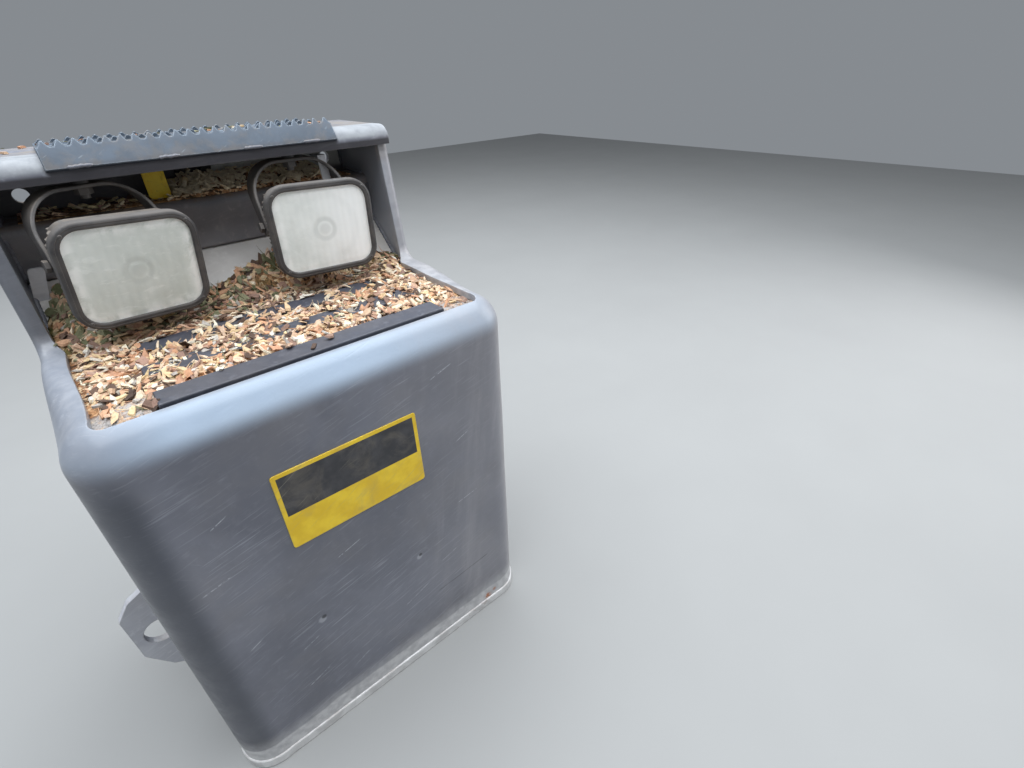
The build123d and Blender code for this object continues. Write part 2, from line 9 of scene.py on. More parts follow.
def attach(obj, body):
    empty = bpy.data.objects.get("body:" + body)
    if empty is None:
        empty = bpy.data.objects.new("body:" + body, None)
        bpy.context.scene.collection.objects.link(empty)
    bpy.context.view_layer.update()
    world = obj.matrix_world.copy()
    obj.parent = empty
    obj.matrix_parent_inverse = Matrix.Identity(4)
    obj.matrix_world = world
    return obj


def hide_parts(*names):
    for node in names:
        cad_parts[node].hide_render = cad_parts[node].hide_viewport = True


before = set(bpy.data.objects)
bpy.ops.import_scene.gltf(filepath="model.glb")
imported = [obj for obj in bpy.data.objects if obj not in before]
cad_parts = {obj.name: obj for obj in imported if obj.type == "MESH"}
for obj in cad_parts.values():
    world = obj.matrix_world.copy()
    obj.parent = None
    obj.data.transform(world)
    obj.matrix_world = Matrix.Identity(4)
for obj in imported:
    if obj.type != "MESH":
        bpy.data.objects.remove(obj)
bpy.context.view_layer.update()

# Lengths in the mesh code are millimetres from the face's bottom edge, as in the
# CAD source: x from the middle, y inwards from the face, z up.
OFF = np.array([0.0, -432.0, -500.0])
HALF, FRONT_HALF, STEP_Z, BEND_R = 250.0, 262.0, 621.0, 46.0
FLOOR_Z = 603.0
rng = np.random.default_rng(7)


def out_x(y):
    """Outer face of a cheek at a depth y."""
    return HALF + (FRONT_HALF - HALF) * (420.0 - np.clip(y, 50.0, 420.0)) / 370.0


def in_x(y):
    """Inner face of a cheek at a depth y."""
    return out_x(y) - 15.0


def row(points):
    """Guard millimetres to the row frame in metres."""
    return (np.asarray(points, float).reshape(-1, 3) + OFF) * 0.001


def smooth(t):
    t = np.clip(t, 0.0, 1.0)
    return t * t * (3 - 2 * t)


def lerp(a, b, t):
    return a + (b - a) * t


# ------------------------------------------------------------------- materials
class Shader:
    """A node tree written as expressions."""

    def __init__(self, name, metallic=0.0, rough=0.5, spec=0.5, coat=0.0, coat_rough=0.2, ior=1.5,
                 transmission=0.0, sheen=0.0):
        self.mat = bpy.data.materials.new(name)
        self.mat.use_nodes = True
        self.tree = self.mat.node_tree
        self.tree.nodes.clear()
        out = self.tree.nodes.new("ShaderNodeOutputMaterial")
        self.bsdf = self.tree.nodes.new("ShaderNodeBsdfPrincipled")
        self.tree.links.new(self.bsdf.outputs[0], out.inputs[0])
        b = self.bsdf.inputs
        b["Metallic"].default_value = metallic
        b["Roughness"].default_value = rough
        b["Specular IOR Level"].default_value = spec
        b["Coat Weight"].default_value = coat
        b["Coat Roughness"].default_value = coat_rough
        b["IOR"].default_value = ior
        b["Transmission Weight"].default_value = transmission
        b["Sheen Weight"].default_value = sheen
        self.coords = None

    def put(self, socket, value):
        if isinstance(value, bpy.types.NodeSocket):
            self.tree.links.new(value, socket)
        elif value is not None:
            if socket.type == "RGBA" and len(value) == 3:
                value = (*value, 1.0)
            socket.default_value = value

    def node(self, kind, ins=(), **props):
        n = self.tree.nodes.new("ShaderNode" + kind)
        for k, v in props.items():
            setattr(n, k, v)
        for k, v in dict(ins).items():
            self.put(n.inputs[k], v)
        return n

    def set(self, **values):
        names = {"color": "Base Color", "rough": "Roughness", "metal": "Metallic", "normal": "Normal"}
        for k, v in values.items():
            self.put(self.bsdf.inputs[names[k]], v)
        return self.mat

    def co(self):
        if self.coords is None:
            self.coords = self.node("TexCoord").outputs["Object"]
        return self.coords

    def attr(self, name, what="Fac"):
        return self.node("Attribute", attribute_name=name).outputs[what]

    def xyz(self, vec=None):
        return self.node("SeparateXYZ", {0: vec or self.co()}).outputs

    def math(self, op, a, b=None, c=None, clamp=False):
        n = self.node("Math", operation=op, use_clamp=clamp)
        for i, v in enumerate((a, b, c)):
            self.put(n.inputs[i], v)
        return n.outputs[0]

    def mul(self, *vs):
        r = vs[0]
        for v in vs[1:]:
            r = self.math("MULTIPLY", r, v)
        return r

    def add(self, *vs):
        r = vs[0]
        for v in vs[1:]:
            r = self.math("ADD", r, v)
        return r

    def most(self, *vs):
        r = vs[0]
        for v in vs[1:]:
            r = self.math("MAXIMUM", r, v)
        return r

    def less(self, v):
        return self.math("SUBTRACT", 1.0, v, clamp=True)

    def span(self, v, lo, hi, a=0.0, b=1.0, soft=True):
        n = self.node("MapRange", {0: v, 1: lo, 2: hi, 3: a, 4: b}, clamp=True)
        if soft:
            n.interpolation_type = "SMOOTHSTEP"
        return n.outputs[0]

    def mix(self, fac, a, b, blend="MIX"):
        n = self.node("Mix", data_type="RGBA", blend_type=blend, clamp_factor=True)
        self.put(n.inputs[0], fac)
        self.put(n.inputs[6], a)
        self.put(n.inputs[7], b)
        return n.outputs[2]

    def ramp(self, fac, stops, mode="LINEAR"):
        n = self.node("ValToRGB", {0: fac})
        el = n.color_ramp.elements
        n.color_ramp.interpolation = mode
        while len(el) < len(stops):
            el.new(0.5)
        for e, (p, c) in zip(el, stops):
            e.position = p
            e.color = (*c, 1.0) if len(c) == 3 else c
        return n.outputs[0]

    def map(self, loc=(0, 0, 0), rot=(0, 0, 0), scale=(1, 1, 1), vec=None):
        return self.node("Mapping", {0: vec or self.co(), 1: loc, 2: rot, 3: scale}).outputs[0]

    def noise(self, scale, detail=3.0, rough=0.55, warp=0.0, vec=None):
        return self.node("TexNoise", {"Vector": vec or self.co(), "Scale": scale, "Detail": detail,
                                      "Roughness": rough, "Distortion": warp}).outputs[0]

    def cells(self, scale, feature="F1", vec=None, what="Distance", random=1.0):
        return self.node("TexVoronoi", {"Vector": vec or self.co(), "Scale": scale,
                                        "Randomness": random}, feature=feature).outputs[what]

    def up(self, lo=0.35, hi=0.95):
        z = self.node("SeparateXYZ", {0: self.node("NewGeometry").outputs["Normal"]}).outputs[2]
        return self.span(z, lo, hi)

    def edge(self, radius=0.003, gain=9.0):
        bev = self.node("Bevel", {"Radius": radius}, samples=4).outputs[0]
        d = self.node("VectorMath", {0: bev, 1: self.node("NewGeometry").outputs["Normal"]},
                      operation="DOT_PRODUCT").outputs["Value"]
        return self.math("MULTIPLY", self.math("SUBTRACT", 1.0, d), gain, clamp=True)

    def scratches(self, angle, length=9.0, fine=420.0, lo=0.70, hi=0.78, shift=0.0, plane="face"):
        """Thin streaks at an angle in the face's plane, or in the level plane."""
        rot = (0, angle, 0) if plane == "face" else (0, 0, angle)
        scale = (length, fine * 0.25, fine) if plane == "face" else (length, fine, fine * 0.25)
        v = self.map(scale=scale, vec=self.map(loc=(shift, shift * 0.7, shift * 1.3), rot=rot))
        return self.span(self.noise(1.0, 2.0, 0.5, vec=v), lo, hi)

    def line(self, p, q, width):
        """Distance mask of a stroke on the face between two points in guard millimetres."""
        (x0, z0), (x1, z1) = [((a) * 0.001, (b - 500.0) * 0.001) for a, b in (p, q)]
        length = math.hypot(x1 - x0, z1 - z0)
        dx, dz = (x1 - x0) / length, (z1 - z0) / length
        x, _, z = self.xyz()
        u, w = self.math("SUBTRACT", x, x0), self.math("SUBTRACT", z, z0)
        t = self.add(self.mul(u, dx), self.mul(w, dz))
        s = self.math("ABSOLUTE", self.math("SUBTRACT", self.mul(u, dz), self.mul(w, dx)))
        along = self.mul(self.span(t, -0.004, 0.004), self.span(t, length + 0.004, length - 0.004))
        return self.mul(self.span(s, width, width * 0.35), along)

    def spot(self, x, z, r, soft=0.5, y=None):
        """Round mask about a point in guard millimetres, through the whole depth unless y is given."""
        px, py, pz = self.xyz()
        u = self.math("SUBTRACT", px, x * 0.001)
        w = self.math("SUBTRACT", pz, (z - 500.0) * 0.001)
        d = self.add(self.mul(u, u), self.mul(w, w))
        if y is not None:
            k = self.math("SUBTRACT", py, (y - 432.0) * 0.001)
            d = self.add(d, self.mul(k, k))
        return self.span(self.math("SQRT", d), r * 0.001, r * 0.001 * soft)

    def block(self, x0, x1, z0, z1, soft=0.004, y0=None, y1=None):
        """Soft box mask in guard millimetres."""
        px, py, pz = self.xyz()
        m = None
        for v, a, b in ((px, x0 * 0.001, x1 * 0.001), (pz, (z0 - 500) * 0.001, (z1 - 500) * 0.001),
                        (py, None if y0 is None else (y0 - 432) * 0.001, None if y1 is None else (y1 - 432) * 0.001)):
            if a is None:
                continue
            k = self.mul(self.span(v, a - soft, a + soft), self.span(v, b + soft, b - soft))
            m = k if m is None else self.mul(m, k)
        return m

    def bump(self, height, distance, strength=1.0, normal=None):
        return self.node("Bump", {"Strength": strength, "Distance": distance, "Height": height,
                                  "Normal": normal}).outputs[0]


def srgb(r, g, b):
    """Linear colour of an 8-bit display colour."""
    return tuple(((c / 255) / 12.92) if c <= 10 else (((c / 255) + 0.055) / 1.055) ** 2.4 for c in (r, g, b))


def paint(name, base, dark, light, rough=0.42, dust=(0.22, 0.19, 0.16), dust_amount=0.55, wear=0.75,
          scratch=0.5, coat=0.0, extra=None, wear_colour=(0.34, 0.33, 0.32), spec=0.5, fine=1.0, blotch=1.0,
          coat_rough=0.25):
    s = Shader(name, rough=rough, coat=coat, coat_rough=coat_rough, spec=spec)
    cloud = s.noise(5.0, 5.0, 0.6, 0.4)
    col = s.mix(s.span(cloud, 0.36, 0.66), dark, base)
    speck = s.noise(85.0, 4.0, 0.6)
    col = s.mix(s.mul(s.span(speck, 0.55, 0.72), 0.35 * blotch), col, light)
    mottle = s.noise(22.0, 5.0, 0.65, 0.8)
    col = s.mix(s.mul(s.span(mottle, 0.52, 0.75), 0.3 * blotch), col, light)
    col = s.mix(s.mul(s.span(mottle, 0.45, 0.25), 0.35), col, dark)
    # fine scratches, most of them along one diagonal
    where = s.span(s.noise(3.4, 3.0, 0.6), 0.34, 0.60)
    lines = s.most(s.mul(s.scratches(0.20, 16, 430, 0.60, 0.72), where),
                   s.mul(s.scratches(0.27, 28, 300, 0.58, 0.74, 5.3), 0.40),
                   s.mul(s.scratches(0.30, 8, 620, 0.69, 0.76, 3.1), s.span(s.noise(4.1, 2.0), 0.45, 0.65)),
                   s.mul(s.scratches(-0.75, 14, 520, 0.71, 0.78, 7.7), s.span(s.noise(2.9, 2.0), 0.5, 0.7)),
                   s.mul(s.scratches(0.6, 10, 480, 0.68, 0.76, 1.7, "level"), s.up(0.5, 0.9)))
    col = s.mix(s.mul(lines, scratch), col, light)
    # paint worn through on the edges
    ragged = s.noise(55.0, 5.0, 0.7)
    worn = s.span(s.add(s.edge(0.0035, 7.0), s.mul(s.math("SUBTRACT", ragged, 0.5), 1.1)), 0.52, 0.85)
    worn = s.mul(worn, wear)
    col = s.mix(worn, col, wear_colour)
    # dust lying on what faces up
    settled = s.mul(s.up(0.45, 0.98), s.span(s.noise(16.0, 5.0, 0.7, 0.6), 0.34, 0.62), dust_amount)
    film = s.mul(s.span(s.noise(9.0, 4.0, 0.6, 0.3, vec=s.map(loc=(5, 1, 2))), 0.42, 0.75), 0.16)
    dusty = s.most(settled, film)
    col = s.mix(dusty, col, dust)
    r = s.add(s.mul(s.span(mottle, 0.3, 0.7), 0.16), rough - 0.08)
    r = s.add(r, s.mul(dusty, 0.42), s.mul(lines, 0.15))
    height = s.add(s.mul(s.noise(260.0 * fine, 2.0, 0.5), 0.20), s.mul(speck, 0.25), s.mul(lines, -0.35),
                   s.mul(worn, -0.35), s.mul(dusty, s.noise(420.0, 2.0), 0.9))
    normal = s.bump(height, 0.0006, 0.55)
    if extra:
        col, r, normal = extra(s, col, r, normal)
    return s.set(color=col, rough=r, normal=normal, metal=s.mul(worn, 0.25))


# ---------------------------------------------------------------- mesh helpers
class Build:
    """Points in guard millimetres and faces by index."""

    def __init__(self):
        self.v, self.f, self.m = [], [], []

    def add(self, points):
        start = len(self.v)
        self.v.extend([tuple(map(float, p)) for p in points])
        return list(range(start, len(self.v)))

    def face(self, ids, m=0):
        ids = list(ids)
        if len(set(ids)) >= 3:
            self.f.append(ids)
            self.m.append(m)

    def grid(self, rows_, close_u=False, close_v=False, m=0):
        """rows_: lists of indices, all as long."""
        n = len(rows_)
        for i in range(n if close_u else n - 1):
            a, b = rows_[i], rows_[(i + 1) % n]
            k = len(a)
            for j in range(k if close_v else k - 1):
                self.face([a[j], a[(j + 1) % k], b[(j + 1) % k], b[j]], m)


def piece(name, build, mats, body="guard", stands_for=(), sharp=38.0, bevel=0.0, segments=2,
          weighted=True, outward=True, attrs=None, frame_of=None, merge=1e-6):
    me = bpy.data.meshes.new(name)
    v = row(build.v) if frame_of is None else np.asarray(build.v, float) * 0.001
    me.from_pydata([tuple(p) for p in v], [], build.f)
    me.polygons.foreach_set("material_index", np.array(build.m, np.int32))
    for key, values in (attrs or {}).items():
        values = np.asarray(values, np.float32)
        if values.ndim == 1:
            me.attributes.new(key, "FLOAT", "POINT").data.foreach_set("value", values)
        else:
            me.attributes.new(key, "FLOAT_VECTOR", "POINT").data.foreach_set("vector", values.ravel())
    bm = bmesh.new()
    bm.from_mesh(me)
    if merge:
        bmesh.ops.remove_doubles(bm, verts=bm.verts, dist=merge)
    if outward:
        bmesh.ops.recalc_face_normals(bm, faces=bm.faces)
    bm.to_mesh(me)
    bm.free()
    for mat in mats if isinstance(mats, (list, tuple)) else [mats]:
        me.materials.append(mat)
    me.polygons.foreach_set("use_smooth", np.ones(len(me.polygons), bool))
    me.set_sharp_from_angle(angle=math.radians(sharp))
    ob = bpy.data.objects.new(name, me)
    bpy.context.scene.collection.objects.link(ob)
    if bevel:
        mod = ob.modifiers.new("edges", "BEVEL")
        mod.width, mod.segments = bevel * 0.001, segments
        mod.limit_method, mod.angle_limit = "ANGLE", math.radians(35)
        mod.harden_normals = False
    if weighted:
        mod = ob.modifiers.new("normals", "WEIGHTED_NORMAL")
        mod.keep_sharp = True
        mod.weight = 80
    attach(ob, body)
    if stands_for:
        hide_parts(*stands_for)
    return ob


def slab(build, outline, origin, ux, uy, un, thick, m=0):
    """A flat plate: outline in its plane, extruded along un."""
    o, ux, uy, un = (np.asarray(q, float) for q in (origin, ux, uy, un))
    top = build.add([o + ux * a + uy * b for a, b in outline])
    low = build.add([o + ux * a + uy * b + un * thick for a, b in outline])
    build.face(top, m)
    build.face(low[::-1], m)
    k = len(outline)
    for i in range(k):
        build.face([top[i], top[(i + 1) % k], low[(i + 1) % k], low[i]], m)


def rounded(w, h, r, arc=7, side=5):
    """Points round a rounded rectangle, the same count for any size."""
    pts = []
    r = max(r, 0.5)
    corners = [(w / 2 - r, h / 2 - r, 0), (-w / 2 + r, h / 2 - r, 90), (-w / 2 + r, -h / 2 + r, 180),
               (w / 2 - r, -h / 2 + r, 270)]
    for i, (cx, cy, a0) in enumerate(corners):
        for k in range(arc + 1):
            a = math.radians(a0 + 90 * k / arc)
            pts.append((cx + r * math.cos(a), cy + r * math.sin(a)))
        nx, ny, na = corners[(i + 1) % 4]
        a = math.radians(na)
        p, q = pts[-1], (nx + r * math.cos(a), ny + r * math.sin(a))
        for k in range(1, side):
            pts.append((lerp(p[0], q[0], k / side), lerp(p[1], q[1], k / side)))
    return pts


def tube(build, path, radii, sides=8, cap=True, m=0, seed=None):
    """Round bar along points, with a radius at each."""
    path = np.asarray(path, float)
    rings = []
    t_prev = None
    for i, p in enumerate(path):
        t = path[min(i + 1, len(path) - 1)] - path[max(i - 1, 0)]
        t = t / np.linalg.norm(t)
        if t_prev is None:
            n = np.cross(t, (0.31, 0.17, 0.93))
            n /= np.linalg.norm(n)
        else:
            n = n - t * (n @ t)
            n /= np.linalg.norm(n)
        t_prev = t
        bvec = np.cross(t, n)
        r = radii[i] if hasattr(radii, "__len__") else radii
        rings.append(build.add([p + (n * math.cos(a) + bvec * math.sin(a)) * r
                                for a in np.linspace(0, 2 * math.pi, sides, endpoint=False)]))
    build.grid(rings, close_v=True, m=m)
    if cap:
        build.face(rings[0][::-1], m)
        build.face(rings[-1], m)


def weld_bead(build, p, q, r=3.0, pitch=2.6, seed=0):
    """A rippled bead from p to q."""
    p, q = np.asarray(p, float), np.asarray(q, float)
    length = np.linalg.norm(q - p)
    n = max(int(length / pitch), 3)
    g = np.random.default_rng(seed)
    pts, rad = [], []
    for i in range(n + 1):
        t = i / n
        pts.append(p + (q - p) * t + g.normal(0, 0.18, 3))
        rad.append(r * (0.86 + 0.22 * (i % 2)) * (0.93 + 0.14 * g.random()) * (0.55 if i in (0, n) else 1))
    tube(build, pts, rad, sides=7)


def hexagon(r, turn=0.0):
    return [(r * math.cos(math.radians(60 * k + turn)), r * math.sin(math.radians(60 * k + turn)))
            for k in range(6)]


# ====================================================================== stage
def camera():
    yaw, pitch, roll = math.radians(39.70), math.radians(31.76), math.radians(-2.10)
    f = Vector((math.sin(yaw), math.cos(yaw), 0))
    r = Vector((math.cos(yaw), -math.sin(yaw), 0))
    u = Vector((0, 0, 1))
    fwd = f * math.cos(pitch) - u * math.sin(pitch)
    u2 = u * math.cos(pitch) + f * math.sin(pitch)
    right = r * math.cos(roll) + u2 * math.sin(roll)
    up = u2 * math.cos(roll) - r * math.sin(roll)
    data = bpy.data.cameras.new("camera")
    data.sensor_width = 36.0
    data.lens = 509.76 / 1024 * 36.0
    data.clip_start, data.clip_end = 0.02, 50
    cam = bpy.data.objects.new("camera", data)
    m = Matrix((right, up, -fwd)).transposed().to_4x4()
    m.translation = Vector((-0.17126, -0.95229, 0.39074))
    cam.matrix_world = m
    bpy.context.scene.collection.objects.link(cam)
    bpy.context.scene.camera = cam


def area_light(name, at, aim, size, power, colour=(1, 1, 1)):
    data = bpy.data.lights.new(name, "AREA")
    data.shape, data.size, data.size_y = "RECTANGLE", size[0], size[1]
    data.energy, data.color = power, colour
    ob = bpy.data.objects.new(name, data)
    ob.location = at
    ob.rotation_euler = (Vector(aim) - Vector(at)).to_track_quat("-Z", "Y").to_euler()
    bpy.context.scene.collection.objects.link(ob)
    return ob


camera()
area_light("sky_panel", (0.1, 0.1, 2.8), (0.1, 0.1, 0), (4.4, 4.4), 290, (0.90, 0.95, 1.0))
area_light("right_panel", (2.3, -1.2, 0.9), (0, -0.3, 0), (1.6, 1.8), 26, (0.97, 0.98, 1.0))
area_light("left_fill", (-2.2, -1.6, 1.2), (0, -0.3, 0), (1.6, 1.6), 4, (0.95, 0.97, 1.0))

world = bpy.data.worlds.new("studio")
world.use_nodes = True
world.node_tree.nodes["Background"].inputs[0].default_value = (0.80, 0.86, 0.93, 1)
world.node_tree.nodes["Background"].inputs[1].default_value = 0.30
bpy.context.scene.world = world
bpy.context.scene.view_settings.view_transform = "Standard"
bpy.context.scene.view_settings.look = "None"
bpy.context.scene.view_settings.exposure = 0.0

floor_build = Build()
ids = floor_build.add([(-6000, -6000, -0.4), (6000, -6000, -0.4), (6000, 6000, -0.4), (-6000, 6000, -0.4)])
floor_mesh = bpy.data.meshes.new("floor")
floor_mesh.from_pydata([tuple(p) for p in row(floor_build.v)], [], [ids])
fs = Shader("floor_pale", rough=0.8, spec=0.2)
floor_mat = fs.set(color=fs.mix(fs.noise(3.0, 3.0), (0.31, 0.31, 0.305), (0.34, 0.34, 0.335)))
floor_mesh.materials.append(floor_mat)
floor = bpy.data.objects.new("floor", floor_mesh)
bpy.context.scene.collection.objects.link(floor)


# ================================================================== materials
def face_marks(s, col, r, normal):
    """Marks that belong to one place on the guard: strokes, rust, runs, pale worn corners, with painted light and
    shade: a painted sky reflection on the top bend, painted shade on the lip and the left bend, painted light to the
    right and on the right rims.
    """
    pale, dull = srgb(172, 174, 180), srgb(52, 52, 58)
    x, y, z = s.xyz()
    # tone changes with painted light and shade: a bluish painted sky reflection over the top bend, a painted shadow
    # line on the lip, painted light to the right, painted shade down the left bend, darker on the left rim by the
    # riser, painted light on the right bend
    crown_painted_sheen = s.mul(s.span(z, 0.066, 0.094), s.span(s.noise(7.0, 3.0, 0.6), 0.25, 0.6, 0.85, 1.0),
                  s.span(x, -0.245, -0.150, 0.40, 1.0))
    sky_sheen_colour = s.mix(s.span(z, 0.090, 0.108), srgb(184, 201, 220), srgb(150, 166, 184))
    col = s.mix(s.mul(crown_painted_sheen, 0.85), col, sky_sheen_colour)
    # painted shadow: a dark line along the lip at the top of the bend
    lip_painted_shade = s.mul(s.span(z, 0.1125, 0.1165), s.span(s.math("ABSOLUTE", x), 0.185, 0.165))
    col = s.mix(s.mul(lip_painted_shade, 0.75), col, srgb(92, 91, 95))
    # painted light: the face paler towards the right side
    right = s.mul(s.span(x, 0.0, 0.21), s.span(s.noise(2.6, 3.0, 0.6), 0.30, 0.62, 0.5, 1.0))
    col = s.mix(s.mul(right, 0.42), col, srgb(146, 143, 145))
    # painted shade down the left bend
    left = s.mul(s.span(x, -0.204, -0.232), s.span(z, 0.085, 0.035))
    col = s.mix(s.mul(left, 0.72), col, srgb(50, 55, 66))
    riser = s.mul(s.span(x, -0.19, -0.23), s.span(z, 0.118, 0.140))
    col = s.mix(s.mul(riser, 0.60), col, srgb(74, 71, 71))
    # painted light on the right bend
    bend = s.span(x, 0.226, 0.250)
    col = s.mix(s.mul(bend, 0.55), col, srgb(156, 152, 153))
    strokes = s.most(s.line((-210, 386), (-178, 394), 0.0012), s.line((-193, 261), (-178, 268), 0.0011),
                     s.line((-60, 330), (-22, 341), 0.0009), s.line((120, 540), (152, 551), 0.0010),
                     s.line((140, 300), (176, 306), 0.0009), s.line((20, 150), (64, 166), 0.0009),
                     s.line((-150, 120), (-118, 132), 0.0010), s.line((-140, 200), (-116, 209), 0.0008),
                     s.line((96, 196), (128, 206), 0.0008), s.line((-80, 96), (-56, 106), 0.0008),
                     s.line((150, 420), (170, 428), 0.0009), s.line((-176, 470), (-158, 479), 0.0009))
    broken = s.span(s.noise(240.0, 3.0, 0.6), 0.38, 0.56)
    col = s.mix(s.mul(strokes, broken, 0.9), col, pale)
    col = s.mix(s.mul(s.line((83, 131), (187, 139), 0.0016), 0.55), col, dull)
    # two small dings, dark with a bright lip
    lip = s.most(s.spot(-103, 234.5, 7.5, 0.5), s.spot(57.5, 236, 6.0, 0.5))
    col = s.mix(s.mul(lip, 0.5), col, pale)
    pit = s.most(s.spot(-100, 238, 4.6, 0.5), s.spot(60, 239, 3.8, 0.5))
    col = s.mix(s.mul(pit, 0.85), col, srgb(40, 40, 44))
    # pale runs down the right of the face
    run = s.noise(1.0, 5.0, 0.65, 0.5, vec=s.map(scale=(26, 26, 3.2), vec=s.map(rot=(0, -0.16, 0))))
    side = s.mul(s.span(x, 0.03, 0.15), s.span(run, 0.46, 0.80))
    col = s.mix(s.mul(side, 0.34), col, srgb(170, 167, 170))
    # splashed mud low down
    low = s.mul(s.span(z, -0.38, -0.49), s.span(s.noise(30.0, 5.0, 0.7, 0.5), 0.42, 0.64))
    col = s.mix(s.mul(low, 0.26), col, srgb(104, 93, 82))
    # paint rubbed pale along the bottom edge
    wavy = s.add(z, s.mul(s.math("SUBTRACT", s.noise(14.0, 4.0, 0.6), 0.5), 0.012))
    foot = s.most(s.span(wavy, -0.449, -0.457), s.mul(s.span(wavy, -0.425, -0.452), 0.42))
    foot = s.mul(foot, s.span(s.noise(38.0, 5.0, 0.7), 0.24, 0.46, 0.72, 1.0), s.span(y, -0.35, -0.38))
    pale_foot = s.mix(s.span(s.noise(70.0, 4.0, 0.6), 0.35, 0.65), srgb(176, 175, 176), srgb(200, 199, 199))
    col = s.mix(s.mul(foot, 0.94), col, pale_foot)
    rust = s.mul(s.spot(181, 25, 11, 0.25), s.span(s.noise(210.0, 4.0, 0.7), 0.40, 0.52))
    rust = s.most(rust, s.mul(s.spot(197, 31, 6, 0.3), 0.7))
    col = s.mix(rust, col, srgb(168, 104, 66))
    # rubbed paint on the flanged rims of the cheeks, with painted light: paler towards the right side; weaker up the
    # risers
    torn = s.span(s.noise(26.0, 5.0, 0.65, 0.4), 0.28, 0.58, 0.6, 1.0)
    rubbed = s.mix(s.span(s.noise(60.0, 4.0, 0.6), 0.35, 0.65), srgb(146, 144, 146), srgb(176, 173, 174))
    high = s.mul(s.span(z, 0.125, 0.150), s.span(z, 0.285, 0.262))
    # painted light: the rims paler towards the right side
    share = s.mul(s.span(x, -0.15, 0.15, 0.42, 1.0), s.span(high, 0.0, 1.0, 1.0, 0.35))
    col = s.mix(s.mul(s.attr("rim"), torn, share), col, rubbed)
    return col, s.add(r, s.mul(rust, 0.3), s.mul(low, 0.2)), normal


GREY = dict(base=srgb(114, 116, 126), dark=srgb(96, 98, 108), light=srgb(158, 160, 168))
M = {}
M["skin"] = paint("guard_grey_paint", rough=0.42, coat=0.32, coat_rough=0.20, scratch=0.62, dust_amount=0.16,
                  extra=face_marks, dust=srgb(150, 144, 138), blotch=0.22, **GREY)
M["grey"] = paint("grey_paint", rough=0.46, dust_amount=0.6, dust=srgb(128, 116, 104), **GREY)
M["inner"] = paint("inner_dark_paint", srgb(104, 103, 107), srgb(84, 83, 87), srgb(132, 129, 128), rough=0.55,
                   dust=srgb(128, 112, 98), dust_amount=0.8, wear=0.5, scratch=0.3)
M["slope"] = paint("slope_grey_paint", srgb(206, 202, 198), srgb(186, 182, 178), srgb(220, 217, 213), rough=0.5,
                   dust=srgb(168, 152, 134), dust_amount=0.35, wear=0.4, scratch=0.35)
M["bar"] = paint("tread_bar_paint", srgb(62, 65, 76), srgb(52, 54, 64), srgb(98, 100, 110), rough=0.5,
                 dust=srgb(104, 94, 86), dust_amount=0.14, wear=0.25, scratch=0.5)
# painted light: paler paint on the cross member, which sits in shade under the top plate
M["cross"] = paint("cross_member_painted_light", srgb(146, 145, 149), srgb(122, 121, 125), srgb(168, 166, 165), rough=0.55,
                   dust=srgb(138, 118, 100), dust_amount=0.9, wear=0.4, scratch=0.3)
# painted light: paler paint on the eye plate, which sits in shade
M["plate"] = paint("eye_plate_painted_light", srgb(206, 207, 212), srgb(180, 181, 188), srgb(226, 227, 230), rough=0.5,
                   dust=srgb(150, 138, 124), dust_amount=0.5)
M["slate"] = paint("tread_slate_paint", srgb(70, 72, 80), srgb(54, 55, 62), srgb(108, 110, 116), rough=0.55,
                   dust=srgb(116, 98, 80), dust_amount=0.55, wear=0.6, scratch=0.5)


def tread_shader():
    s = Shader("tread_blue_grey_paint", rough=0.5, spec=0.35)
    cloud = s.noise(18.0, 5.0, 0.65, 0.6)
    col = s.mix(s.span(cloud, 0.35, 0.65), srgb(56, 66, 78), srgb(72, 84, 98))
    x, y, z = s.xyz()
    # painted light: the strip paler and more worn towards its top
    rise = s.span(z, 0.312, 0.346)
    col = s.mix(s.mul(rise, 0.5), col, srgb(88, 100, 114))
    # painted shade along the foot of the leaning strip
    col = s.mix(s.mul(s.span(z, 0.3185, 0.3105), s.span(y, -0.13, -0.15), 0.55), col, srgb(52, 49, 52))
    ragged = s.noise(120.0, 5.0, 0.7)
    worn = s.span(s.add(s.edge(0.003, 8.0), s.mul(rise, 0.35), s.mul(s.math("SUBTRACT", ragged, 0.5), 1.0)),
                  0.55, 0.9)
    col = s.mix(s.mul(worn, 0.62), col, srgb(140, 148, 156))
    dusty = s.mul(s.up(0.3, 0.9), s.span(s.noise(30.0, 5.0, 0.7), 0.45, 0.62), 0.6)
    col = s.mix(dusty, col, srgb(120, 108, 94))
    lines = s.scratches(0.5, 12, 500, 0.66, 0.74)
    col = s.mix(s.mul(lines, 0.4), col, srgb(140, 148, 156))
    h = s.add(s.mul(s.noise(240.0, 3.0), 0.3), s.mul(worn, -0.3), s.mul(dusty, s.noise(400.0, 2.0)))
    return s.set(color=col, rough=s.add(0.36, s.mul(dusty, 0.45), s.mul(cloud, 0.1)), metal=s.mul(worn, 0.4),
                 normal=s.bump(h, 0.0006, 0.5))


M["tread"] = tread_shader()


